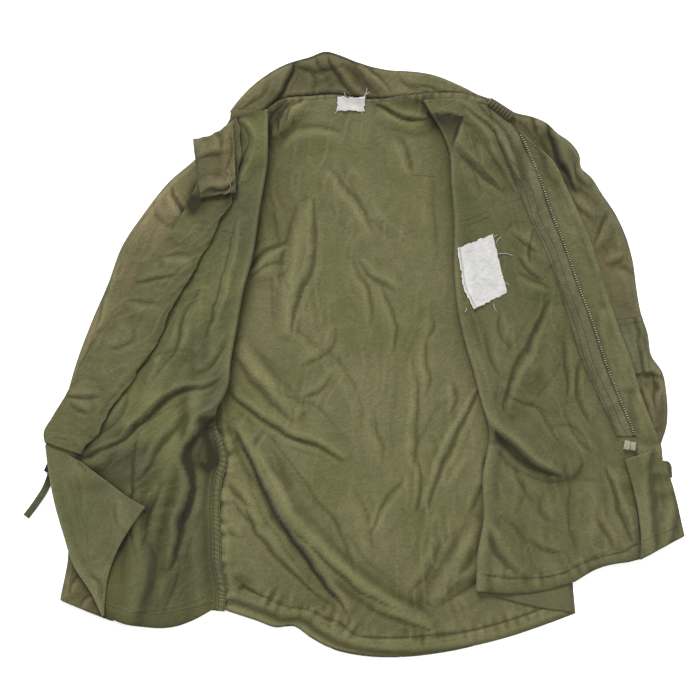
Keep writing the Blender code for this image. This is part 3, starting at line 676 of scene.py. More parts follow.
# strength, middle x, y, half width, half height
BACK_SHADE_SPOTS = [
    (1.3, 72, 338, 36, 9),
    (1.2, 106, 312, 9, 16),
    (0.8, -152, -309, 14, 16),
    (0.5, 116, 270, 20, 60),
    (0.4, -100, 210, 22, 80),
]
NECK_LUMP_SHADE = (1.0, -101, 321, 9, 13)  # painted shade of the crushed cloth beside the right front's neck, as a spot
RIM_CALM, HEM_CALM = 14, 9  # how far in from the sides and the hem the creases reach full height
HEM_DEEP, HEM_RISE = 19, 0.45  # depth of the turned hem, and how much it stands up
BACK_COLUMNS = 142

seam = spline(SIDE_SEAM, TURN_ROW)
left = two_part(SIDE_SEAM, BACK_LEFT)
left[0] = BACK_HEM[0]
left[:, 0] -= 3.5 * ramp(left[:, 1], 30, -30)  # tucked in under the felled seam
neck = spline(NECK, BACK_COLUMNS)
back_right = spline(BACK_RIGHT, ROWS)
flat = weave([left, back_right], [BACK_COLUMNS], [0.0])
flat = fit_ends(flat, spline(BACK_HEM, BACK_COLUMNS), neck)
_, side, _ = along(flat, spline(BACK_HEM, 60))
from_hem = np.abs(side)
inward = np.minimum(np.arange(BACK_COLUMNS + 1), np.arange(BACK_COLUMNS, -1, -1)) * FINE
calm = ramp(inward, 0, RIM_CALM) * np.clip(from_hem / HEM_CALM, 0.12, 1)
z = raised(flat, BACK_FOLDS) + creased(flat, BACK_CREASES) + crumpled(flat, 11, 80.0) + 1.2
z = settled(z) * calm + np.where(from_hem < HEM_DEEP, HEM_RISE, 0.0)
hem_stitch = spline(HEM_STITCH, 80)
z += puckered(flat, hem_stitch, 12.0, 1.1, 13.0)
z += puckered(flat, spline(SIDE_SEAM, 60), 14.0, 2.2, 14.0, 8)
z += puckered(flat, spline(NECK, 60), 9.0, 0.8, 8.0, 4)
back_net = lifted(flat, np.maximum(z, 0.0) + CLOTH / 2)
shade = shaded(back_net, BACK_SHADE_LINES, BACK_SHADE_SPOTS)
shade += 0.35 * ramp(back_net[..., 1], -230, -90)
shade += shaded(back_net, (), [NECK_LUMP_SHADE]) * (2.0 + 1.2 * ripple(back_net, 4, 12))
back = cloth("shirt_back", [back_net], CLOTH, [inside, outside], shade=shade)
bed.lay(back_net, CLOTH)
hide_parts("back")

# --------------------------------------------------------------------------------------------------
# Collar
# Two plies of the same cotton, outside up, sewn to the neck of the back and folded away from it.
# It is pulled into soft dents behind the seam, and its upper edge is turned and stitched.
# --------------------------------------------------------------------------------------------------
COLLAR_TOP = [
    (-168, 326), (-161, 336), (-150, 349), (-120, 375), (-90, 391), (-60, 400), (-40, 407),
    (-20, 402), (0, 394), (40, 383), (80, 380), (100, 377), (140, 362), (168, 348), (190, 341),
]
COLLAR_CREASES = [
    (6.5, 10, 5, (-124, 334), (-108, 352), (-97, 370), (-88, 394)),
    (1.7, 10, 7, (-86, 392), (-60, 391), (-34, 388)),
    (2.8, 10, 8, (-54, 404), (-38, 394), (-16, 392)),
    (5.0, 12, 7, (-34, 402), (-22, 384), (-2, 362), (18, 346)),
    (3.4, 9, 5, (44, 352), (26, 372), (6, 392)),
    (1.8, 8, 5, (58, 372), (100, 362), (148, 354)),
    (2.0, 8, 6, (-154, 330), (-138, 348), (-116, 372)),
    (0.9, 8, 7, (-70, 350), (-62, 366), (-66, 382)),
    (1.4, 5, 8, (96, 352), (84, 362), (62, 378)),
]
COLLAR_SHADE_LINES = [
    (1.0, 7.0, (-116, 338), (-101, 352), (-91, 370), (-83, 388)),
    (1.2, 8.0, (-8, 384), (15, 364), (36, 344)),
    (0.4, 8.0, (-80, 386), (-58, 384), (-36, 382)),
]
COLLAR_ROWS = 21

foot = neck + np.array((0.0, 2 * GAP))
top = spline(COLLAR_TOP, BACK_COLUMNS)
share = np.linspace(1, 0, COLLAR_ROWS + 1)[:, None, None]
band = foot[None] * share + top[None] * (1 - share)
z = creased(band, COLLAR_CREASES) + crumpled(band, 31, 20.0, 22.0, 1.2) + 0.8
z = settled(z) * np.clip(np.minimum(share, 1 - share)[..., 0] * 9, 0.15, 1)
z += puckered(band, foot, 8.0, 1.0, 6.0, 5) + puckered(band, top, 7.0, 0.6, 5.0, 6)
collar_net = lifted(band, np.maximum(z, 0.0) + DOUBLE / 2)
across = collar_net[..., 0]
shade = shaded(collar_net, COLLAR_SHADE_LINES, [(1.1, -104, 344, 13, 13)])
shade += 0.4 * beside(collar_net, foot, 3.0) + 0.6 * bump(across, -35, 46)
shade -= 0.65 * ramp(across, 20, 40) + 0.35 * ramp(across, -90, -20)
collar = cloth("shirt_collar", [collar_net], DOUBLE, [outside], shade=shade)
bed.lay(collar_net, DOUBLE)
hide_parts("collar")

# --------------------------------------------------------------------------------------------------
# Sleeves
# One flattened tube of cotton each, outside showing, open at armhole and cuff. They lie beside the
# back, and the fronts cover all but a strip along their outer side.
# --------------------------------------------------------------------------------------------------
# outer x, outer y, inner x, inner y of each section, armhole to cuff
RIGHT_SLEEVE = [
    (-185, 294, -188, 58), (-214, 263, -195, 50), (-250, 232, -203, 38), (-285, 188, -212, 22),
    (-313, 146, -222, 0), (-333, 93, -236, -32), (-355, 42, -250, -70), (-380, -28, -268, -130),
    (-397, -110, -284, -190), (-399, -190, -298, -250), (-386, -264, -312, -305),
    (-397, -331, -326, -360),
]
LEFT_SLEEVE = [
    (188, 340, 228, 30), (216, 325, 232, 24), (240, 319, 236, 18), (258, 311, 240, 12),
    (272, 298, 244, 4), (290, 285, 248, -2), (302, 268, 252, -8), (304, 252, 256, -12),
    (318, 238, 260, -20), (333, 215, 266, -28), (351, 188, 270, -40), (364, 160, 275, -52),
    (374, 125, 282, -70), (379, 88, 290, -92), (385, 55, 297, -108), (394, 28, 302, -125),
    (399, -2, 308, -142), (414, -25, 313, -160), (419, -50, 317, -176), (419, -98, 320, -198),
    (411, -124, 322, -215), (415, -190, 325, -240), (406, -250, 328, -262),
]
RIGHT_SLEEVE_CREASES = [
    (4.0, 6, 14, (-250, 226), (-250, 208), (-240, 190), (-228, 178)),
    (1.6, 8, 6, (-262, 206), (-284, 170), (-300, 138), (-318, 100)),
    (2.4, 7, 6, (-320, 110), (-330, 70), (-346, 30)),
    (2.2, 7, 6, (-340, 20), (-358, -10), (-376, -40)),
    (1.4, 6, 5, (-371, -298), (-376, -310), (-380, -324)),
    (0.9, 7, 6, (-352, -328), (-366, -344)),
    (0.8, 7, 6, (-392, -290), (-384, -316), (-390, -330)),
]
LEFT_SLEEVE_CREASES = [
    (9.0, 14, 6, (258, 318), (268, 290), (276, 270), (288, 246), (298, 220)),
    (3.4, 7, 5, (238, 324), (246, 308), (250, 290)),
    (3.0, 5, 8, (322, 184), (302, 202), (290, 216)),
    (3.0, 8, 5, (346, 190), (334, 166), (327, 144)),
    (2.6, 8, 5, (338, 128), (352, 131), (362, 139)),
    (3.4, 10, 12, (318, 232), (334, 200), (350, 168), (362, 120)),
    (2.6, 10, 10, (352, 118), (364, 92), (372, 60)),
    (4.0, 8, 6, (382, -30), (396, -22), (412, -30)),
    (4.0, 9, 7, (386, -46), (400, -70), (406, -100)),
    (3.4, 8, 6, (402, -20), (410, -46), (412, -80)),
    (3.4, 8, 7, (300, 262), (306, 244), (316, 226)),
]
SLEEVE_SHADE_LINES = [
    (2.2, 7.0, (-213, 226), (-221, 206), (-231, 186)),
    (1.2, 8.0, (262, 300), (268, 280), (280, 252), (292, 224)),
    (1.2, 8.0, (222, 312), (240, 294), (259, 274), (274, 250), (288, 226)),
    (1.2, 12.0, (-390, -250), (-378, -282), (-351, -325), (-339, -352)),
]
SLEEVE_RISE, SLEEVE_LEAST = 3.6, 1.4  # from the lower ply to the upper one: usual, and in a valley
SLEEVE_EDGE = 7  # how far in from its two edges the tube reaches its height
SLEEVE_ROWS, PLY_COLUMNS = 190, 58


def sleeve(name, table, creases, paint, seed, turn, side):
    """A flattened tube: its lower ply on the floor, its upper ply eased down at both edges. Side is
    1 for the right sleeve and -1 for the left. Returns the piece and its net."""
    rings = []
    f = np.linspace(0, 1, PLY_COLUMNS) ** 1.4
    for ox, oy, ix, iy in spline(table, SLEEVE_ROWS):
        outer, inner = np.array((ox, oy)), np.array((ix, iy))
        line = outer * (1 - f[:, None]) + inner * f[:, None]
        near = np.minimum(f, 1 - f) * np.linalg.norm(inner - outer)
        swell = SLEEVE_RISE + 2.0 * np.sin(math.pi * f) + crumpled(line, seed, turn, 22.0, 1.3)
        rise = np.maximum(swell + creased(line, creases), SLEEVE_LEAST)
        low = np.column_stack([line, CLOTH / 2 + 0 * f])
        high = np.column_stack([line, CLOTH / 2 + rise * np.sqrt(ramp(near, 0, SLEEVE_EDGE))])
        rings.append(np.vstack([low, high[-2:0:-1]])[::side])
    net = np.array(rings)
    shade = shaded(net, SLEEVE_SHADE_LINES)
    shade += 0.6 * ramp(net[..., 1], -255, -40) if side == 1 else 0.5 * ramp(net[..., 1], -10, -40)
    piece = cloth(name, [net], CLOTH, [paint], closed=True, shade=shade)
    bed.lay(net, CLOTH, closed=True)
    return piece, net


right_sleeve, right_sleeve_net = sleeve(
    "shirt_right_sleeve", RIGHT_SLEEVE, RIGHT_SLEEVE_CREASES, outside_lighter, 41, 60.0, 1
)
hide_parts("right_sleeve")
left_sleeve, left_sleeve_net = sleeve(
    "shirt_left_sleeve", LEFT_SLEEVE, LEFT_SLEEVE_CREASES, outside, 51, 120.0, -1
)
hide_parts("left_sleeve")

# --------------------------------------------------------------------------------------------------
# Strap and keeper
# A narrow webbing tape that comes out from under the right front beside its sleeve, with a dark
# keeper stitched round it.
# --------------------------------------------------------------------------------------------------
STRAP_PATH = [(-402.5, -138), (-407, -151), (-411, -166), (-418, -183), (-428, -199), (-443, -219)]
STRAP_WIDE, STRAP_WALL, STRAP_STEPS = 9.2, 0.9, 40
STRAP_KEEPER = [(-419, -157), (-406, -164), (-405, -149), (-414, -146)]

# tightly woven cotton webbing, greyed along its edges
webbing = cotton("webbing_olive_grey", "#46462f", "#2c2c1b", "#5e5c4c", 1.4)
# dark brown-black webbing of the keeper
keeper_webbing = cotton("webbing_dark", "#1e1d1a", "#131210", "#26241f", 1.4)


def patch(corners, across, along):
    """The plan of a four-cornered piece: near-left, near-right, far-right and far-left corners."""
    a, b, c, d = (np.array(p, float) for p in corners)
    u = np.linspace(0, 1, across + 1)[None, :, None]
    v = np.linspace(0, 1, along + 1)[:, None, None]
    return (a * (1 - u) + b * u) * (1 - v) + (d * (1 - u) + c * u) * v


line = spline(STRAP_PATH, STRAP_STEPS)
run = heading(line)
across = np.stack([-run[:, 1], run[:, 0]], axis=1) * STRAP_WIDE / 2
tape = np.stack([line - across * f for f in np.linspace(-1, 1, 6)], axis=1)
gone = np.linspace(0, 1, STRAP_STEPS + 1)[:, None]
strap_net = lifted(tape, 0.5 + np.repeat(2.0 * bump(gone, 2 / 3, 2 / 15), 6, axis=1))
# the strap darker just where it leaves the keeper, a little lighter further down, and mottled
worn = 1.5 * bump(gone, 0.34, 0.07) - 0.5 * bump(gone, 0.55, 0.06) + 0.25
worn = worn + 0.3 * ripple(tape, 8, 62)
strap = cloth("shirt_strap", [strap_net], STRAP_WALL, [webbing], shade=worn)
bed.lay(strap_net, STRAP_WALL)
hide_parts("right_strap")
flat = patch(STRAP_KEEPER, 7, 9)
keeper_net = lifted(flat, bed.seat(flat, DOUBLE, 4.0, 4.0))
keeper = cloth("strap_keeper_loop", [keeper_net], DOUBLE, [keeper_webbing])
bed.lay(keeper_net, DOUBLE)
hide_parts("strap_keeper")

# --------------------------------------------------------------------------------------------------
# Neck label, pencil pocket and cuff tab
# Small pieces sewn flat: a white woven label at the neck with frayed ends, the pencil pocket on
# the left sleeve, and the folded tab at the left cuff. Each lies on the cloth below it.
# --------------------------------------------------------------------------------------------------
NECK_LABEL = [(-25, 327), (14, 326), (14, 346), (-25, 347)]
PENCIL_POCKET = [(362, -30), (396, -24), (386, 50), (346, 44)]
CUFF_TAB = [(392, -170), (427, -166), (426, -145), (392, -140)]
LABEL_WALL = 0.5
# pulled threads of the neck label: start, end, bow
NECK_LABEL_THREADS = [
    ((12, 346), (20, 352), 1.0),
    ((11, 345), (16, 357), -1.5),
    ((-22, 330), (-27, 324), 0.6),
    ((6, 328), (10, 322), 0.8),
    ((-12, 346), (-14, 351), 0.4),
]

# white acetate label ribbon, a little grey and creased
ribbon = cotton("label_white", "#b2b0b1", "#a8a6a8", "#a6a19d", 0.3)
# greener cotton of the pocket, cut from less faded cloth
pocket_cloth = cotton("cotton_pocket_green", "#4e4e37", "#40402a", "#534d37")


def frayed(flat, seed, depth=1.3):
    """The plan with its outline worn uneven, as where a woven edge has frayed."""
    rows, columns = flat.shape[:2]
    i, j = np.arange(rows)[:, None], np.arange(columns)[None, :]
    from_rim = np.minimum(np.minimum(i, rows - 1 - i), np.minimum(j, columns - 1 - j))
    out = flat - flat.reshape(-1, 2).mean(axis=0)
    out /= np.linalg.norm(out, axis=-1)[..., None] + 1e-6
    worn = depth * (0.35 + 0.65 * ripple(flat, 3.5, seed)) * np.exp(-from_rim / 2.0)
    worn += 0.5 * np.random.RandomState(seed).rand(rows, columns) * (from_rim == 0)
    return flat - out * worn[..., None]


def thread(start, end, bow, wide=0.55):
    """The plan of one pulled thread, as a narrow bowed strip."""
    start, end = np.array(start, float), np.array(end, float)
    way = (end - start) / np.linalg.norm(end - start)
    normal = np.array((-way[1], way[0]))
    t = np.linspace(0, 1, 8)[:, None]
    line = start * (1 - t) + end * t + normal * bow * np.sin(math.pi * t)
    return np.stack([line + normal * wide / 2, line - normal * wide / 2], axis=1)[:, ::-1]


def label(name, net, threads, lift):
    """A woven label with its pulled threads, each lying lift above what is below it."""
    nets = [net]
    for start, end, bow in threads:
        strand = thread(start, end, bow)
        nets.append(lifted(strand, bed.over(strand, 3.0, 4.0) + lift))
    piece = cloth(name, nets, LABEL_WALL, [ribbon])
    bed.lay(net, LABEL_WALL)
    return piece, nets


flat = frayed(patch(NECK_LABEL, 34, 18), 61, 3.0)
z = bed.over(flat, 4.0, 4.0) + GAP + 0.8 + 0.7 * ripple(flat, 9, 62, 2.0, 20)
z[0] += 0.8
neck_label, label_nets = label("label_neck", lifted(flat, z), NECK_LABEL_THREADS, 1.5)
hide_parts("neck_label")

POCKET_CREASES = [
    (2.0, 6, 5, (356, 40), (370, 10), (378, -20)),
    (1.6, 5, 5, (372, 44), (382, 16), (384, -8)),
]
flat = patch(PENCIL_POCKET, 14, 26)
u = np.linspace(0, 1, 15)[None, :]
z = bed.seat(flat, CLOTH, 6.0, 6.0) + crumpled(flat, 65, 80.0, 16.0, 1.4) * 0.6
z += 1.6 * bump(u, 0.93, 0.09) - 1.2 * bump(u, 0.74, 0.08) + creased(flat, POCKET_CREASES)
pocket_net = lifted(flat, z)
pocket = cloth("shirt_pencil_pocket", [pocket_net], CLOTH, [pocket_cloth])
bed.lay(pocket_net, CLOTH)
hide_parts("pencil_pocket")

flat = patch(CUFF_TAB, 12, 10)
# its outer corner is rounded off: points within 6 mm move in by up to 3
corner = np.linalg.norm(np.array((427, -145)) - flat, axis=-1)
flat += 3 * ramp(corner, 6, -6)[..., None] * np.array((-0.7, -0.7))
tab_net = lifted(flat, bed.seat(flat, DOUBLE, 2.0, 5.0))
tab = cloth("shirt_cuff_tab", [tab_net], DOUBLE, [outside])
bed.lay(tab_net, DOUBLE)
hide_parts("left_cuff_tab")

# --------------------------------------------------------------------------------------------------
# Right front
# One panel, inside up. Below the armhole it meets the back at the side seam; above, its edge rolls
# under and lies over the back. Its lower corner is folded up over itself, showing the outside.
# --------------------------------------------------------------------------------------------------
ROLL = 9.4  # length of cloth that goes round a fold
# visible right-hand limit above the side seam: x, y, degrees turned under, ply under, 1 on the back
FRONT_ROLL = [
    (-186, -100, 0, 4, 0), (-188, -87, 25, 4, 0.2), (-186, -74, 90, 4, 1), (-178, -60, 165, 6, 1),
    (-171, -44, 180, 12, 1), (-167, -10, 180, 18, 1), (-159, 35, 180, 24, 1),
    (-150, 85, 180, 32, 1), (-138, 130, 180, 40, 1), (-128, 195, 180, 48, 1),
    (-118, 258, 180, 56, 1), (-117, 327, 180, 46, 1),
]
FACING_LOW = [(-290, -367), (-322, -300), (-356, -215), (-372, -138)]
FACING_HIGH = [
    (-372, -138), (-350, -112), (-318, -60), (-296, -30), (-268, 10), (-250, 50), (-224, 98),
    (-206, 128), (-190, 163), (-163, 212), (-153, 258), (-157, 316),
]
FREE_LOW = [
    (-339, -352), (-351, -325), (-378, -282), (-390, -245), (-403, -200), (-413, -145),
    (-416, -122),
]
FREE_HIGH = [
    (-416, -122), (-418, -107), (-406, -84), (-390, -58), (-374, -30), (-346, 22), (-314, 56),
    (-291, 104), (-256, 149), (-233, 186), (-212, 230), (-198, 286),
]
# far edge of the turned corner, from its tip back to the row where it starts
FLAP_EDGE = [(-281, -205), (-300, -194), (-340, -165), (-372, -142), (-395, -131), (-409, -126)]
FLAP_SAG, FLAP_SAG_ROWS = -16.0, 36  # how far the turned hem bows, and over how many rows
BODY_COLUMNS, FACING_COLUMNS, FLAP_COLUMNS = 54, 26, 37
RIGHT_FRONT_FOLDS = [
    (-190, -42, -366, -146, 12, 19, 3.0),
    (-146, 190, -232, -6, 6, 22, 4.0),
    (-300, -170, -296, -350, 4, 22, 3.5),
    (-196, 70, -300, -120, -10, 20, 3.0),
]
RIGHT_FRONT_CREASES = [
    (7.0, 8, 26, (-172, -26), (-206, -34), (-238, -41), (-266, -64), (-294, -88), (-324, -116),
     (-358, -128)),
    (10.0, 10, 36, (-200, -84), (-222, -112), (-237, -138), (-235, -160), (-230, -178),
     (-234, -202), (-243, -226), (-250, -262), (-255, -290)),
    (1.6, 12, 20, (-248, -256), (-257, -300), (-262, -344)),
    (2.2, 14, 12, (-196, -176), (-204, -198), (-214, -220)),
    (1.4, 10, 12, (-206, -246), (-203, -276), (-208, -310)),
    (2.6, 10, 6, (-294, 102), (-268, 108), (-242, 111)),
    (2.8, 9, 6, (-388, -50), (-368, -50), (-342, -52)),
    (2.6, 8, 6, (-382, -60), (-370, -66), (-354, -74)),
    (5.0, 16, 8, (-150, 186), (-158, 140), (-168, 100), (-180, 60), (-192, 20)),
    (4.2, 8, 7, (-158, 314), (-147, 313), (-136, 301), (-133, 279), (-139, 257), (-148, 239),
     (-155, 218)),
    (3.6, 12, 8, (-196, 96), (-214, 50), (-226, 14), (-244, -14)),
    (3.0, 8, 12, (-172, 36), (-190, 2), (-216, -20)),
    (2.6, 9, 9, (-232, 60), (-240, 30), (-258, -4), (-278, -36)),
    (2.6, 10, 14, (-212, -66), (-250, -96), (-280, -136), (-306, -172)),
    (1.8, 9, 12, (-262, -170), (-286, -212), (-292, -262)),
    (1.2, 12, 14, (-290, -240), (-284, -290), (-292, -336)),
    (3.2, 9, 7, (-334, -126), (-352, -146), (-372, -150)),
    (2.0, 8, 8, (-306, -52), (-330, -84), (-352, -108)),
    (1.6, 8, 8, (-300, 40), (-316, 20), (-336, 12)),
    (1.8, 7, 8, (-262, 128), (-240, 122), (-216, 126)),
    (1.6, 7, 8, (-306, 70), (-284, 62), (-262, 64)),
]
FLAP_CREASES = [
    (0.8, 8, 10, (-398, -150), (-392, -190), (-380, -226), (-372, -262)),
    (0.8, 9, 8, (-372, -158), (-362, -196), (-352, -234), (-350, -280)),
    (1.4, 8, 7, (-318, -192), (-310, -212), (-312, -236)),
    (1.8, 8, 8, (-362, -300), (-352, -316), (-344, -334)),
    (1.4, 7, 7, (-384, -140), (-376, -156), (-360, -168)),
]
RIGHT_SHADE_LINES = [
    (1.3, 4.0, (-193, -88), (-206, -108), (-221, -134), (-221, -158), (-215, -178), (-220, -202),
     (-228, -222)),
    (1.3, 8.0, (-372, -142), (-340, -165), (-300, -196), (-281, -206), (-292, -226), (-316, -258),
     (-336, -292), (-341, -345)),
    (1.4, 5.0, (-224, -146), (-204, -151), (-178, -143)),
    (-0.45, 4.0, (-147, 312), (-136, 300), (-133, 279), (-139, 257), (-150, 236)),
    (0.5, 5.0, (-236, -236), (-246, -268), (-255, -300)),
    (1.2, 3.0, (-198, 288), (-178, 301), (-157, 316), (-140, 320), (-117, 327)),
    (0.5, 7.0, (-175, -40), (-240, -50), (-270, -75), (-300, -100), (-330, -130), (-360, -141)),
]
RIGHT_SHADE_SPOTS = [
    (1.6, -198, -134, 21, 24),
    (-0.6, -201, -192, 12, 28),
    (0.8, -150, 284, 9, 18),
]
ROLL_STEPS, TAIL_STEPS = 7, 4  # parts of the arc at a rolled edge, and of the straight ply under it
RIGHT_ROW = 3.3  # height of a row of the right front's squares
FRONT_CALM = 26  # how far above a front's hem its creases reach full height
FRONT_HEM_DEEP, FRONT_HEM_RISE = 20, 0.4  # depth of a front's turned hem, and how much it stands up
FRONT_BLEND = 22.0  # how far into the panel the height of its rolled edge is felt
SEAM_ROWS = 9.0  # from the side seam's first row of stitches to its second

# inside of the right front: a darker, greener copy of the inside cotton, as painted shade over the
# panel
inside_deep = cotton("cotton_inside_deep", "#515130", "#41412c", "#565135", 1.0, 0.9)
# outside of the turned corner, between the two
turned = cotton("cotton_turned_corner", "#524f36", "#46462d", "#564d34")


def section(turn, tail, steps, tail_steps):
    """Rolled edge: how far out and up from the rail, an arc that turns down, then straight."""
    turn = np.maximum(np.radians(turn), 0.02)
    bend = turn / ROLL
    out = [np.sin(turn * k / steps) / bend for k in range(1, steps + 1)]
    up = [(np.cos(turn * k / steps) - 1) / bend for k in range(1, steps + 1)]
    for k in range(1, tail_steps + 1):
        out.append(out[steps - 1] + np.cos(turn) * tail * k / tail_steps)
        up.append(up[steps - 1] - np.sin(turn) * tail * k / tail_steps)
    return np.stack(out, axis=1), np.stack(up, axis=1)


def near_edge(rail, net, reach):
    """Share of a rolled edge's height felt at each point: one at the edge, none past reach."""
    gone = np.linalg.norm(net[..., :2] - rail[:, None, :2], axis=2)
    return np.cos(np.clip(gone / reach, 0, 1) * math.pi / 2) ** 2


def eased(values, span=7):
    """A row of values, each the mean of the span of values round it."""
    return np.convolve(np.pad(values, span // 2, mode="edge"), np.ones(span) / span, "valid")


def mixed(a, b, share):
    """From a, where the share is 0, to b, where it is 1."""
    return a * (1 - share) + b * share


def hemmed(z, from_hem):
    """A front's heights, calmed towards its turned hem."""
    return settled(z) * np.clip(from_hem / FRONT_CALM, 0.15, 1) + np.where(
        from_hem < FRONT_HEM_DEEP, FRONT_HEM_RISE, 0.0
    )


sewn = np.hstack([seam, np.tile((0.0, 4.0, 0.0), (len(seam), 1))])
rail = np.vstack([sewn[:-1], spline(FRONT_ROLL, ROWS - TURN_ROW)])
visible, turn, tail, held = rail[:, :2], rail[:, 2], rail[:, 3], np.clip(rail[:, 4], 0, 1)
run = heading(visible)
outward = np.stack([run[:, 1], -run[:, 0]], axis=1)
out, up = section(np.clip(turn, 0, 180), tail, ROLL_STEPS, TAIL_STEPS)
inner = visible - outward * out.max(axis=1)[:, None]
roll = inner[:, None, :] + outward[:, None, :] * out[..., None]
clear_of = bed.over(roll, 6.0, 8.0).max(axis=1) + GAP
base = CLOTH / 2 + np.maximum(CLOTH + GAP, held * clear_of)
edge = base - up[:, -1] + 1.2 * held * (ripple(visible, 42, 71) + 0.6)
under = lifted(roll, edge[:, None] + up)
bed.lay(under, CLOTH)

facing_rail = two_part(FACING_LOW, FACING_HIGH)
free = two_part(FREE_LOW, FREE_HIGH)
radius = np.interp(np.arange(TURN_ROW + 1), (TURN_ROW - 18, TURN_ROW), (3.0, 1.0))
run = heading(free[: TURN_ROW + 1])
away = np.stack([-run[:, 1], run[:, 0]], axis=1)
hinge = free.copy()
hinge[: TURN_ROW + 1] -= away * radius[:, None]
flat = weave([inner, facing_rail, hinge], [BODY_COLUMNS, FACING_COLUMNS], (-11.0, -3.0))
from_hem = (np.arange(ROWS + 1) * RIGHT_ROW)[:, None]
z = raised(flat, RIGHT_FRONT_FOLDS) + creased(flat, RIGHT_FRONT_CREASES)
z += crumpled(flat, 73, 35.0) + 1.0
z = hemmed(z, from_hem) + puckered(flat, seam, 6.0, 1.2, 9.0, 8)
z += puckered(flat, seam - np.array((SEAM_ROWS, 0.0)), 6.0, 0.9, 7.0, 9)
z = np.maximum(z, 0.0) + bed.seat(flat, CLOTH, 6.0, 18.0)
top = mixed(edge, eased(np.maximum(edge, z[:, 1:6].max(axis=1))) + 2.5, held)
z = mixed(z, top[:, None], near_edge(inner, flat, FRONT_BLEND))
stretch = np.where(edge - base > 1, (top - base) / (edge - base), 1)[:, None]
under[..., 2] = base[:, None] + (under[..., 2] - base[:, None]) * stretch
front_main = lifted(flat, z)[:, ::-1]
whole = np.concatenate([front_main, under], axis=1)
bed.lay(front_main, CLOTH)

# the turned corner: a roll up from the hinge, then a ply across to its far edge
fold = front_main[: TURN_ROW + 1, 0]
far = spline(FLAP_EDGE, TURN_ROW)
roll = []
for a in np.radians((180, 150, 120, 90, 60, 30)):
    plan = fold[:, :2] + away * (radius * math.sin(a))[:, None]
    roll.append(np.column_stack([plan, fold[:, 2] + radius * (1 - math.cos(a))]))
roll = np.stack(roll, axis=1)
bow = FLAP_SAG * ramp(np.arange(TURN_ROW + 1), FLAP_SAG_ROWS, -FLAP_SAG_ROWS)
ply = [
    mixed(roll[:, 0, :2], far, f) + np.column_stack([bow * math.sin(math.pi * f), 0 * bow])
    for f in np.linspace(1, 0, FLAP_COLUMNS + 1)[:-1]
]
ply = np.stack(ply, axis=1)
z = settled(creased(ply, FLAP_CREASES) + crumpled(ply, 75, 60.0, 22.0, 0.9) + 0.6)
z += bed.seat(ply, CLOTH, 8.0, 12.0)
z = mixed(z, np.maximum(z, roll[:, 0, 2][:, None]), near_edge(roll[:, 0], ply, 18.0))
roll[:, 0, 2] = np.maximum(roll[:, 0, 2], z[:, -1] - 1.0)
flap = np.concatenate([lifted(ply, z), roll], axis=1)
rows = np.arange(TURN_ROW + 1)
flap_ends = whole.shape[0] * whole.shape[1] + rows * flap.shape[1] + flap.shape[1] - 1
hinge_joint = squares(np.stack([flap_ends, rows * whole.shape[1]], axis=1))
whole_right = whole
shade = shaded(whole, RIGHT_SHADE_LINES, RIGHT_SHADE_SPOTS)
shade += 1.5 * beside(whole, facing_rail[TURN_ROW:], 3.6) + 0.58 * ramp(whole[..., 1], -100, -60)
right_front = cloth(
    "shirt_right_front",
    [whole, flap],
    CLOTH,
    [inside_deep, turned],
    joined=[hinge_joint],
    shade=shade,
)
bed.lay(flap, CLOTH)

# the felled side seam: a narrow double band, drawn up into short pleats between its two rows of
# stitches
BAND_LINE = [*((x - 1, y) for x, y in SIDE_SEAM[:-1]), (-186, -106), (-188, -98)]
BAND_ROWS = 256
BAND_HALF, BAND_STITCHES = 5.6, 3.8  # half its width, and from its middle to each row of stitches
BAND_STEP, PLEAT = 0.95, 6.2  # from row to row, and from pleat to pleat

line = spline(BAND_LINE, BAND_ROWS)
run = heading(line)
across = np.linspace(-BAND_HALF, BAND_HALF, 13)
narrow = np.clip((BAND_ROWS - np.arange(BAND_ROWS + 1)) / 16, 0.3, 1)[:, None, None]
outward = np.stack([run[:, 1], -run[:, 0]], axis=1)[:, None]
flat = line[:, None] + outward * across[None, :, None] * narrow
gone = np.arange(BAND_ROWS + 1)[:, None] * BAND_STEP
pleat = np.sin(gone * 2 * math.pi / PLEAT + 4.5 * ripple(flat, 15, 77) + 0.16 * across[None, :])
pleat = pleat * (0.55 + 0.45 * ripple(flat, 9, 76))
stitched = bump(np.abs(across), BAND_STITCHES, 1.1)[None, :]
z = bed.seat(flat, THIN, 4.0, 4.0) + 0.7 * (1 + pleat) * (1 - 0.7 * stitched) + 0.5
z += 1.3 * ripple(flat, 34, 78) * (1 - np.abs(across)[None, :] / 7)
band_net = lifted(flat, z)
shade = 0.6 * np.clip(-pleat, 0, 1) + 0.7 * stitched - 0.05
seam_band = cloth("side_seam_band", [band_net], THIN, [inside_deep], shade=shade)
bed.lay(band_net, THIN)
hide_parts("right_front")
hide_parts("right_front")

# --------------------------------------------------------------------------------------------------
# Facing and lapel block of the right front
# The facing is a strip of the same cotton stitched along the free edge, its inner edge loose and
# curled. The lapel block at its top is double, outside up, and carries a darned patch.
# --------------------------------------------------------------------------------------------------
LAPEL = [(-207, 209), (-159, 218), (-163, 312), (-217, 288)]
LAPEL_CREASES = [
    (4.0, 8, 5, (-214, 212), (-194, 224), (-176, 226), (-158, 236)),
    (2.6, 9, 5, (-218, 260), (-196, 270), (-164, 274)),
    (2.2, 5, 7, (-190, 300), (-184, 284), (-186, 262)),
    (1.8, 6, 6, (-172, 296), (-170, 270), (-174, 246)),
]
FACING_SHADE_LINES = [(1.6, 10.0, (-226, 208), (-206, 205), (-184, 210), (-163, 216))]
LAPEL_SHADE_LINES = [
    (1.2, 5.0, (-212, 207), (-190, 217), (-172, 221), (-158, 232)),
    (0.8, 4.0, (-216, 254), (-196, 260), (-166, 268)),
]


def strip(net, lift):
    """Part of a panel's net, moved off its face by lift."""
    down, across = np.gradient(net, axis=0), np.gradient(net, axis=1)
    out = np.cross(across, down)
    return net + out / np.linalg.norm(out, axis=-1)[..., None] * lift


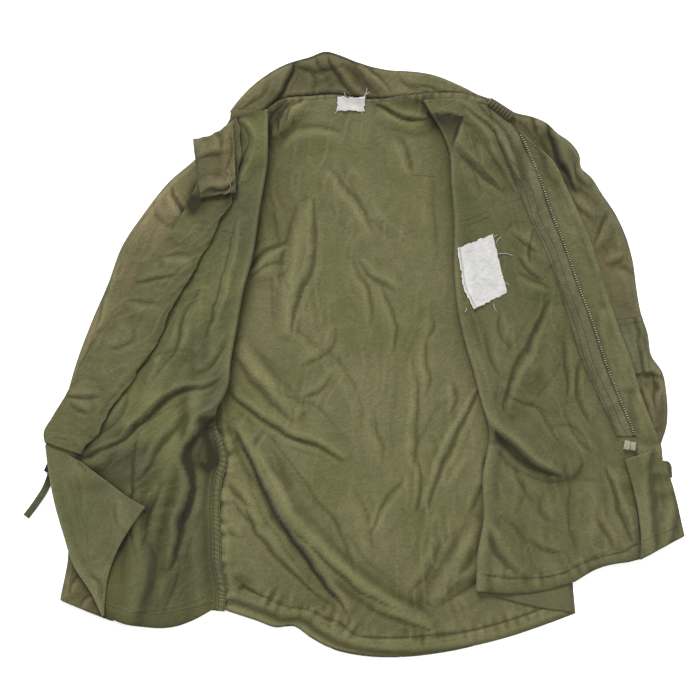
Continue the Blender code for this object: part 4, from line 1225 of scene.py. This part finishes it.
facing_part = front_main[TURN_ROW + 1 :, : FACING_COLUMNS + 1]
facing_net = strip(facing_part, CLOTH + GAP)
from_edge = np.arange(FACING_COLUMNS, -1, -1)[None, :]  # squares in from its loose edge
loose_edge = facing_part[:, -1, :2]
curl = np.clip(0.5 + ripple(loose_edge, 38, 81), 0.15, 1)[:, None]
wander = (ripple(loose_edge, 17, 84) * 3 + ripple(loose_edge, 7, 85))[:, None]
facing_net[..., 0] += np.exp(-from_edge / 5.0) * wander
facing_net[..., 2] += 3.2 * curl * np.exp(-from_edge / 2.2)
facing_net[..., 2] += 0.7 * crumpled(facing_part, 82, 170.0, 15.0)
shade = shaded(facing_net, FACING_SHADE_LINES, [(3.0, -217, 200, 8, 13)])
shade += 0.9 * np.exp(-from_edge / 1.1)
facing = cloth("shirt_right_facing", [facing_net], CLOTH, [inside_front], shade=shade)
bed.lay(facing_net, CLOTH)
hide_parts("right_facing")

flat = patch(LAPEL, 18, 32)
u = np.linspace(0, 1, 19)[None, :]
v = np.linspace(0, 1, 33)[:, None]
top_edge = 1.4 * ripple(flat, 7, 86) - 5.5 * np.sin(math.pi * u)
flat[..., 1] += mixed(2.5 * ripple(flat, 15, 87), top_edge, v)
z = settled(creased(flat, LAPEL_CREASES) + crumpled(flat, 83, 70.0, 18.0, 1.4) + 0.6)
lapel_net = lifted(flat, z + bed.seat(flat, DOUBLE, 6.0, 8.0))
shade = shaded(lapel_net, LAPEL_SHADE_LINES) - 0.3 * v
lapel = cloth("shirt_right_lapel", [lapel_net], DOUBLE, [outside], shade=shade)
bed.lay(lapel_net, DOUBLE)
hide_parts("right_lapel")

# --------------------------------------------------------------------------------------------------
# Left front and its fly
# The fly lies lowest, on the sleeve. The panel is sewn to the back at the hidden side seam, runs
# inward as a tucked ply, folds over and comes back over the sleeve, inside up.
# --------------------------------------------------------------------------------------------------
MIDDLE_RAIL = [
    (296, -306), (291, -250), (288, -180), (280, -120), (262, -60), (245, 0), (228, 60),
    (210, 120), (192, 180), (175, 240), (158, 290), (140, 344),
]
TAPE_RAIL = [
    (366, -280), (363, -215), (357, -150), (352, -115), (330, -65), (303, -5), (283, 60),
    (255, 140), (233, 186), (212, 238), (190, 290), (181, 332),
]
TEETH_RAIL = [
    (386, -275), (383, -245), (378, -195), (375, -150), (377, -118), (358, -65), (342, -25),
    (318, 48), (300, 95), (283, 145), (265, 190), (250, 235), (233, 275), (226, 291), (206, 314),
]
LEFT_SAG = (-9.0, 6.0, 0.0)
TUCK_INSET = 4.0  # how far the tuck's seam stays inside the back's edge
FLY_EDGE = [
    (411, -122), (404, -105), (380, -42), (368, 0), (355, 32), (342, 72), (328, 118), (315, 155),
    (298, 195), (285, 222), (263, 262), (240, 283), (222, 300),
]
HEM_FLAP_LEFT = [(383, -276), (383, -248), (377, -200), (367, -160), (361, -141)]
LEFT_HEM_LINE = [
    (170, -295), (190, -299), (220, -301), (250, -300), (280, -294), (300, -284), (330, -272),
    (365, -263), (380, -254),
]
FLY_LAP = 12.0  # how far the fly goes in under the zip edge
FLY_ROWS = 136
TUCK_COLUMNS, LEFT_COLUMNS = 24, (42, 30, 10)
LEFT_ROW = 3.2  # height of a row of the left front's squares
LEFT_BLEND = 18.0  # how far into the panel the height of its folded edge is felt
LEFT_FRONT_FOLDS = [
    (270, 66, 268, -78, -7, 20, 3.0),
    (206, 168, 262, 118, 5, 17, 3.0),
    (150, 20, 176, -70, 4, 20, 3.0),
    (318, -170, 312, -272, 4, 20, 3.5),
]
LEFT_FRONT_CREASES = [
    (13.0, 28, 8, (162, -50), (178, -80), (198, -104), (222, -129), (250, -148), (284, -157)),
    (4.4, 16, 11, (178, -218), (193, -246), (210, -270), (227, -292)),
    (1.4, 14, 9, (219, -150), (232, -173), (242, -196)),
    (1.2, 14, 9, (252, -182), (262, -206), (272, -226)),
    (2.2, 20, 14, (300, -168), (304, -212), (306, -262)),
    (4.6, 14, 8, (343, -150), (357, -186), (369, -222), (377, -254)),
    (1.2, 11, 8, (236, -240), (262, -254), (288, -262)),
    (2.6, 10, 6, (206, 172), (228, 158), (250, 140)),
    (2.2, 8, 6, (218, 138), (232, 118), (254, 100)),
    (2.2, 6, 8, (214, 104), (232, 92), (262, 84)),
    (2.0, 6, 7, (236, 168), (226, 140), (232, 116)),
    (4.6, 20, 10, (266, 72), (252, 34), (240, 4), (222, -30), (212, -60), (208, -84)),
    (3.0, 10, 8, (306, -6), (308, -50), (318, -92)),
    (6.0, 8, 14, (146, 330), (166, 308), (184, 274), (206, 236), (220, 214)),
    (4.6, 9, 12, (106, 350), (128, 346), (152, 332), (178, 312)),
    (3.4, 12, 3, (92, 328), (122, 323), (148, 317)),
    (2.8, 14, 4, (148, 318), (143, 304), (137, 288), (130, 268)),
    (4.4, 10, 8, (134, 294), (152, 270), (176, 244), (196, 222)),
    (3.6, 8, 12, (172, 322), (190, 296), (206, 266), (220, 236)),
    (3.0, 9, 9, (140, 262), (146, 236), (162, 210)),
    (2.6, 9, 7, (160, 296), (170, 270), (172, 244)),
    (2.0, 12, 9, (146, 120), (150, 84), (148, 50)),
    (2.4, 14, 10, (150, 40), (162, 4), (176, -34), (184, -60)),
    (1.8, 9, 8, (180, 36), (190, 4), (198, -30)),
    (1.5, 11, 9, (284, -64), (306, -104), (330, -128)),
    (1.3, 10, 10, (262, -104), (286, -112), (316, -132)),
    (1.6, 9, 8, (330, -196), (344, -232), (352, -262)),
    (1.6, 9, 8, (196, 60), (204, 30), (214, 10)),
    (2.6, 10, 8, (286, 20), (292, -20), (290, -60)),
    (1.0, 10, 10, (206, -146), (212, -180), (210, -214)),
]
# strength, reach, then points: foot of the bulge, under the tab, long fold, hem facing, tape
LEFT_SHADE_LINES = [
    (1.6, 5.0, (178, -92), (190, -112), (214, -139), (240, -159), (271, -170), (298, -162),
     (305, -149)),
    (0.8, 4.0, (140, 318), (162, 298), (190, 254), (212, 220)),
    (0.55, 7.0, (250, 50), (234, 6), (214, -30), (204, -66), (213, -92)),
    (0.9, 5.0, *HEM_FLAP_LEFT),
    (0.7, 3.0, *TAPE_RAIL[3:]),
]

zip_line = spline(TEETH_RAIL[3:], FLY_ROWS) - np.array((FLY_LAP, 0.0))
flat = weave([zip_line, spline([(413, -142), *FLY_EDGE], FLY_ROWS)], [14], [0.0])
z = bed.seat(flat, CLOTH, 6.0, 8.0) + 0.7 * crumpled(flat, 91, 110.0, 16.0, 1.4)
z[:, -3:] += np.array((0.6, 1.0, 0.4)) * (0.6 + 0.5 * ripple(flat[:, :1], 26, 92))
fly_net = lifted(flat, z)
fly = cloth("shirt_left_fly", [fly_net], CLOTH, [inside_front], shade=-0.35)
bed.lay(fly_net, CLOTH)
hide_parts("left_fly")

tuck_seam = back_right - np.array((TUCK_INSET, 0.0))
tuck_seam[0] = back_right[0] + np.array((-TUCK_INSET, 1.5))
rail = spline(FOLD_RAIL, ROWS)
outward = rail - tuck_seam
outward /= np.linalg.norm(outward, axis=1)[:, None]
radius = ROLL / math.pi
inner = rail - outward * radius
tuck = weave([tuck_seam, inner], [TUCK_COLUMNS], (-4.0,))
low = lifted(tuck, bed.seat(tuck, CLOTH, 6.0, 10.0))
bed.lay(low, CLOTH)
arc = []
for a in np.radians((25, 50, 75, 100, 125, 150)):
    plan = inner + outward * radius * math.sin(a)
    arc.append(np.column_stack([plan, low[:, -1, 2] + radius * (1 - math.cos(a))]))
arc = np.stack(arc, axis=1)
edge = low[:, -1, 2] + 2 * radius + 2.5 * np.clip(ripple(inner, 60, 94) + 0.3, 0, 1)
rails = [inner, *(spline(points, ROWS) for points in (MIDDLE_RAIL, TAPE_RAIL, TEETH_RAIL))]
flat = weave(rails, LEFT_COLUMNS, LEFT_SAG)
from_hem = (np.arange(ROWS + 1) * LEFT_ROW)[:, None]
z = raised(flat, LEFT_FRONT_FOLDS) + creased(flat, LEFT_FRONT_CREASES)
z += crumpled(flat, 93, 100.0) + 1.0
z = hemmed(z, from_hem) + puckered(flat, spline(LEFT_HEM_LINE, 40), 12.0, 1.1, 13.0, 95)
z = np.maximum(z, 0.0) + bed.seat(flat, CLOTH, 6.0, 18.0)
top = eased(np.maximum(edge, z[:, 1:6].max(axis=1))) + 1.5
z = mixed(z, top[:, None], near_edge(inner, flat, LEFT_BLEND))
foot_z = low[:, -1:, 2]
arc[..., 2] = foot_z + (arc[..., 2] - foot_z) * (top[:, None] - foot_z) / (2 * radius)
left_main = lifted(flat, z)
whole = np.concatenate([low, arc, left_main], axis=1)
x, y = whole[..., 0], whole[..., 1]
# painted shadow of the pocket under the collar's end, with straight upper and left sides
tab_shadow = (y < 324 - 0.14 * (x - 98)) * (x < 130 + 0.34 * (y - 270)) * ramp(y, 258, 22)
shade = shaded(whole, LEFT_SHADE_LINES) + tab_shadow * (0.75 + 1.1 * bump(y, 314, 15)) + 0.1
shade[:, : TUCK_COLUMNS + 1] += 0.2
left_front = cloth("shirt_left_front", [whole], CLOTH, [inside_front, turned], shade=shade)
bed.lay(left_main, CLOTH)
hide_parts("left_front")

# --------------------------------------------------------------------------------------------------
# Hem facing, zip and front label
# The facing covers the foot of the zip edge. The zip tape is sewn along that edge with two rows,
# and carries the metal chain. The label is sewn to the panel by its ends, and has frayed.
# --------------------------------------------------------------------------------------------------
HEM_FLAP_RIGHT = [(444, -245), (440, -228), (431, -190), (417, -152), (403, -128)]
SLIDER_AT = (368.0, -122.5)
TAPE_COLUMNS = 10
BEAD_SHARE = 0.83  # share of the tape's width where its bead starts
FRONT_LABEL = [(160, 59), (205, 82), (185, 162), (137, 143)]
# pulled threads of the front label: start, end, bow
FRONT_LABEL_THREADS = [
    ((189, 148), (196, 157), 1.0),
    ((191, 134), (211, 132), 2.0),
    ((186, 68), (190, 57), -1.0),
    ((186, 156), (191, 160), 0.5),
    ((202, 96), (207, 92), 0.6),
    ((150, 62), (147, 56), 0.6),
]

flat = weave([spline(HEM_FLAP_LEFT, 40), spline(HEM_FLAP_RIGHT, 40)], [17], [0.0])
z = bed.seat(flat, CLOTH, 7.0, 8.0) + 0.9 * crumpled(flat, 101, 100.0, 20.0, 1.4)
hem_facing_net = lifted(flat, z)
hem_facing = cloth("shirt_left_hem_facing", [hem_facing_net], CLOTH, [inside_front])
bed.lay(hem_facing_net, CLOTH)
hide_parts("left_hem_facing")

# woven zip tape, a shade darker and smoother than the cotton
tape_cloth = cotton("zip_tape_olive", "#525038", "#46442e", "#544e38", 1.2)
to_slider = np.linalg.norm(left_main[:, -1, :2] - np.array(SLIDER_AT), axis=1)
first = int(np.argmin(to_slider)) + 4  # the tape starts four rows above the slider
tape_net = strip(left_main[first:, -TAPE_COLUMNS - 1 :], CLOTH / 2 + THIN / 2 + GAP)
across = np.linspace(0, 1, TAPE_COLUMNS + 1)[None, :]
shade = 0.4 * (1 - across) + 1.9 * (across > BEAD_SHARE) - 0.25
shade = shade + 0.5 * ripple(tape_net, 30, 104, 2.0, 20)
zip_tape = cloth("shirt_zip_tape", [tape_net], THIN, [tape_cloth], shade=shade)
bed.lay(tape_net, THIN)
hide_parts("zip_tape")

flat = patch(FRONT_LABEL, 38, 66)
u = np.linspace(0, 1, 39)[None, :]
v = np.linspace(0, 1, 67)[:, None]
flat[..., 0] -= 7.5 * np.clip(np.minimum(v / 0.34, (1 - v) / 0.66), 0, 1) * (1 - u) ** 1.5
flat = frayed(flat, 111, 1.8)
z = bed.over(flat, 5.0, 6.0) + GAP + 0.5 + 0.9 * bump(u, 0, 0.03) - 0.5 * bump(u, 0.06, 0.03)
z += 0.5 * ripple(flat, 14, 112, 2.4, 70) + 0.25 * ripple(flat, 6, 113, 2.0, -20)
front_label, label_nets = label("label_front", lifted(flat, z), FRONT_LABEL_THREADS, 0.8)
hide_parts("front_label")

# --------------------------------------------------------------------------------------------------
# Shoulder band
# A narrow band of the same cotton, outside up, gathered into eight stiff ribs where the left sleeve
# meets the shoulder. It is sewn down over the seam there.
# --------------------------------------------------------------------------------------------------
SHOULDER_BAND = [(176, 335), (206, 311), (216, 323), (183, 344)]
SHOULDER_RIBS = 8

flat = patch(SHOULDER_BAND, 80, 10)
u = np.linspace(0, 1, 81)[None, :]
v = np.linspace(0, 1, 11)[:, None]
swell = np.abs(np.sin(math.pi * SHOULDER_RIBS * (u + 0.012 * np.sin(9 * u)))) ** 0.7
z = bed.seat(flat, THIN, 4.0, 4.0) + 2.8 * swell * (0.35 + 0.65 * np.sin(math.pi * v))
shoulder_net = lifted(flat, z)
shade = 1.35 + 0.7 * (1 - swell) + 0 * v
shoulder = cloth("shirt_shoulder_band", [shoulder_net], THIN, [outside], shade=shade)
bed.lay(shoulder_net, THIN)
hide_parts("shoulder_band")

# --------------------------------------------------------------------------------------------------
# Zip chain and box
# Metal teeth clamped one by one to the bead at the edge of the zip tape, and a slider with its box
# at the foot, in worn tan paint. The teeth are one shape copied along the tape.
# --------------------------------------------------------------------------------------------------
TOOTH_SIZE = (2.4, 1.4, 1.5)
TOOTH_PITCH = 3.3  # coarser than real, so that each tooth shows
TOOTH_LIFT = 0.9  # from the tape's face to a tooth's middle
CHAIN_START, CHAIN_END = 1.0, 22.0  # bare tape below the first tooth and above the last
# name, size, rounding, offset from the slider's middle, height of its own middle, turn in degrees
SLIDER_PARTS = [
    ("zip_box", (8.2, 12.0, 3.2), 0.7, (-3.8, 0.6), 1.6, -12.0),
    ("zip_slider_body", (7.2, 11.0, 4.0), 0.9, (4.2, -0.9), 2.0, -8.0),
    ("zip_slider_ridge", (2.0, 8.0, 1.0), 0.3, (3.4, -0.8), 4.2, -8.0),
    ("zip_box_pin", (1.6, 9.0, 0.8), 0.2, (-5.4, 0.8), 3.4, -12.0),
]


def metal(name, light, dark, rough, metallic):
    """Worn metal: two tones rubbed unevenly."""
    paint, tree, shader, spot = new_material(name)
    rub = add_node(tree, "ShaderNodeTexNoise", {"Vector": spot, "Scale": 500.0, "Detail": 3.0})
    tone = add_node(tree, "ShaderNodeValToRGB", {"Fac": rub.outputs["Fac"]})
    for end, at, colour in zip(tone.color_ramp.elements, (0.4, 0.6), (dark, light)):
        end.position, end.color = at, to_linear(colour)
    tree.links.new(tone.outputs["Color"], shader.inputs["Base Color"])
    shader.inputs["Roughness"].default_value = rough
    shader.inputs["Metallic"].default_value = metallic
    return paint


# aged brass of the teeth: dull, mottled at random with a lighter tone, partly wear and partly
# painted sheen
aged_brass = metal("aged_brass", "#898570", "#575342", 0.5, 0.2)
# zinc slider and box under worn tan paint
tan_paint = metal("tan_painted_zinc", "#7a7862", "#696851", 0.5, 0.0)


def block(name, size, bevel, at=(0.0, 0.0, 0.0), tilt=0.0):
    """A box with rounded edges, in millimetres."""
    bpy.ops.object.select_all(action="DESELECT")
    turned_by = (0.0, 0.0, math.radians(tilt))
    bpy.ops.mesh.primitive_cube_add(size=1.0, location=np.array(at) * MM, rotation=turned_by)
    made = bpy.context.object
    made.name = name
    made.scale = np.array(size) * MM
    bpy.ops.object.transform_apply(location=True, rotation=True, scale=True)
    rounded = made.modifiers.new("rounded", "BEVEL")
    rounded.width = bevel * MM
    rounded.segments = 2
    bpy.ops.object.modifier_apply(modifier="rounded")
    bpy.ops.object.shade_smooth_by_angle(angle=math.radians(40))
    return made


def copies(name, source, places, paint):
    """One mesh of the source shape set at each place: its middle, its length's direction and its
    upward direction."""
    points = np.array([v.co for v in source.data.vertices])
    faces = [list(f.vertices) for f in source.data.polygons]
    at = np.array([p[0] for p in places]) + np.array((*MIDDLE, 0.0))
    x = np.array([p[1] for p in places])
    x /= np.linalg.norm(x, axis=1)[:, None]
    y = np.cross(np.array([p[2] for p in places]), x)
    y /= np.linalg.norm(y, axis=1)[:, None]
    turned_to = np.stack([x, y, np.cross(x, y)], axis=1)
    moved = (points @ turned_to) + (at * MM)[:, None, :]
    many = [[k + n * len(points) for k in f] for n in range(len(places)) for f in faces]
    mesh = bpy.data.meshes.new(name)
    mesh.from_pydata(moved.reshape(-1, 3).tolist(), [], many)
    mesh.polygons.foreach_set("use_smooth", np.ones(len(many), bool))
    mesh.materials.append(paint)
    piece = add_object(name, mesh)
    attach(piece, "root")
    bpy.data.objects.remove(source)
    return piece


bead = tape_net[:, -2:].mean(axis=1)
bead = np.column_stack([eased(bead[:, k], 9) for k in range(3)])
gone = np.concatenate([[0], np.cumsum(np.linalg.norm(np.diff(bead, axis=0), axis=1))])
want = np.arange(CHAIN_START, gone[-1] - CHAIN_END, TOOTH_PITCH)
middle = np.column_stack([np.interp(want, gone, bead[:, k]) for k in range(3)])
run = np.gradient(middle, axis=0)
across = np.column_stack([run[:, 1], -run[:, 0], 0 * want])
places = [(m + (0, 0, THIN / 2 + TOOTH_LIFT), a, (0, 0, 1)) for m, a in zip(middle, across)]
teeth = copies("zip_teeth", block("tooth", TOOTH_SIZE, 0.25), places, aged_brass)
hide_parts("zip_chain")

at = np.array(SLIDER_AT)
foot_z = bed.over(at[None], 4.0, 4.0).max() + 0.2
parts = [
    block(name, size, rounding, (*(at + MIDDLE + offset), foot_z + high), tilt)
    for name, size, rounding, offset, high, tilt in SLIDER_PARTS
]
for part in parts:
    part.data.materials.append(tan_paint)
    part.select_set(True)
box_part = parts[0]
bpy.context.view_layer.objects.active = box_part
bpy.ops.object.join()
box_part.name = "zip_slider_and_box"
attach(box_part, "root")
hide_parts("zip_slider")

# --------------------------------------------------------------------------------------------------
# Stitching
# Olive thread along hems, seams, tape and pocket outlines, each stitch a small grain sunk in the
# cloth. Zigzag darning and one loose cream thread on the lapel block.
# --------------------------------------------------------------------------------------------------
# dark olive cotton thread
olive_thread = cotton("thread_olive", "#252316", "#1c1b11", "#2a2718", 0.3)
# undyed cotton thread
cream_thread = cotton("thread_cream", "#8f8a6f", "#817c62", "#948e75", 0.3)
# olive thread of the darning, lighter than the cloth
darning_thread = cotton("thread_darning", "#656042", "#5a553a", "#696243", 0.3)


def stitches(net, path, pitch=3.4, lift=0.5, straight=False):
    """Where each stitch of a line lies on a piece: middle, direction and upward direction."""
    path = np.array(path, float)
    steps = np.linalg.norm(np.diff(path, axis=0), axis=1).sum()
    count = max(2, round(steps / pitch))
    if straight or len(path) < 3:
        gone = np.concatenate([[0], np.cumsum(np.linalg.norm(np.diff(path, axis=0), axis=1))])
        want = np.linspace(0, gone[-1], count + 1)
        line = np.column_stack([np.interp(want, gone, path[:, k]) for k in (0, 1)])
    else:
        line = spline(path, count)
    flat = net.reshape(-1, 3)
    from_line = np.abs(flat[:, :2] - line.mean(axis=0)).max(axis=1)
    flat = flat[from_line < np.ptp(line, axis=0).max() + 20]
    away = ((line[:, None, :] - flat[None, :, :2]) ** 2).sum(axis=-1)
    near = np.argpartition(away, 4, axis=1)[:, :4]
    weight = 1 / (np.take_along_axis(away, near, axis=1) + 0.3)
    z = (flat[near, 2] * weight).sum(axis=1) / weight.sum(axis=1) + lift
    line = np.column_stack([line, z])
    return [(m, d, (0, 0, 1)) for m, d in zip((line[1:] + line[:-1]) / 2, np.diff(line, axis=0))]


def grain(length, wide):
    """One stitch: a small grain of thread."""
    bpy.ops.object.select_all(action="DESELECT")
    bpy.ops.mesh.primitive_ico_sphere_add(subdivisions=1, radius=0.5)
    made = bpy.context.object
    made.scale = np.array((length, wide, wide * 0.8)) * MM
    bpy.ops.object.transform_apply(location=True, rotation=True, scale=True)
    return made


TAPE_LINE = [
    (195, 258), (215, 235), (225, 215), (235, 180), (245, 160), (255, 140), (270, 95), (283, 60),
    (295, 25), (303, -5), (315, -35), (330, -65), (345, -100), (352, -112),
]


def shifted(line, right, up=0.0):
    """A line of points shifted on the plan."""
    return [(x + right, y + up) for x, y in line]


# the piece's net, then the points of each line of stitches on it
STITCH_LINES = [
    (back_net, hem_stitch),
    (back_net, shifted(SIDE_SEAM[1:], 4)),
    (back_net,
     [(-140, 317), (-120, 324), (-100, 338), (-60, 342), (-30, 345), (20, 339), (60, 342)]),
    (back_net, [(75, 241), (92, 240), (110, 239)]),
    (whole_right, shifted(SIDE_SEAM, -2)),
    (whole_right, shifted(SIDE_SEAM, -9.5)),
    (front_main, [(-190, -334), (-230, -344), (-268, -350), (-296, -347)]),
    (front_main, [(-180, 165), (-164, 163), (-148, 159)]),
    (collar_net, shifted(NECK[1:-1], 0, 3.5)),
    (collar_net, [(x * 0.985, y - 5) for x, y in COLLAR_TOP[1:-1]]),
    (left_main, LEFT_HEM_LINE),
    (hem_facing_net, [(386, -251), (400, -245), (420, -238), (436, -231)]),
    (tape_net, shifted(TAPE_LINE, 4, 1)),
    (tape_net, shifted(TAPE_LINE, 13, 3)),
    (left_main, [(140, 178), (155, 182), (178, 192)]),
    (left_main, [(140, 171), (157, 175), (180, 184)]),
    (left_main, [(195, 200), (208, 204), (222, 208)]),
    (lapel_net, [(-212, 284), (-190, 290), (-162, 297)]),
    (lapel_net, [(-163, 220), (-161, 255), (-161, 296)]),
    (pocket_net, [(350, 38), (366, 40), (384, 44)]),
    (pocket_net, [(366, -24), (352, 36)]),
]
places = [place for net, path in STITCH_LINES for place in stitches(net, path)]
copies("stitching", grain(3.0, 1.0), places, olive_thread)

# four rows of zigzag darning on the lapel block, and the loose thread that hangs from it
places = []
for row in range(4):
    zigzag = [(-177 + 5 * row + (2.2 if k % 2 else -2.2), 256 + 2.2 * k) for k in range(16)]
    places += stitches(lapel_net, zigzag, 2.6, 1.2, straight=True)
copies("darning", grain(3.2, 0.9), places, darning_thread)
LOOSE_THREAD = [(-171, 247), (-167, 240), (-170, 233), (-166, 225), (-172, 215), (-176, 214)]
places = stitches(lapel_net, LOOSE_THREAD, 2.0, 1.9)
copies("loose_thread", grain(2.9, 0.8), places, cream_thread)
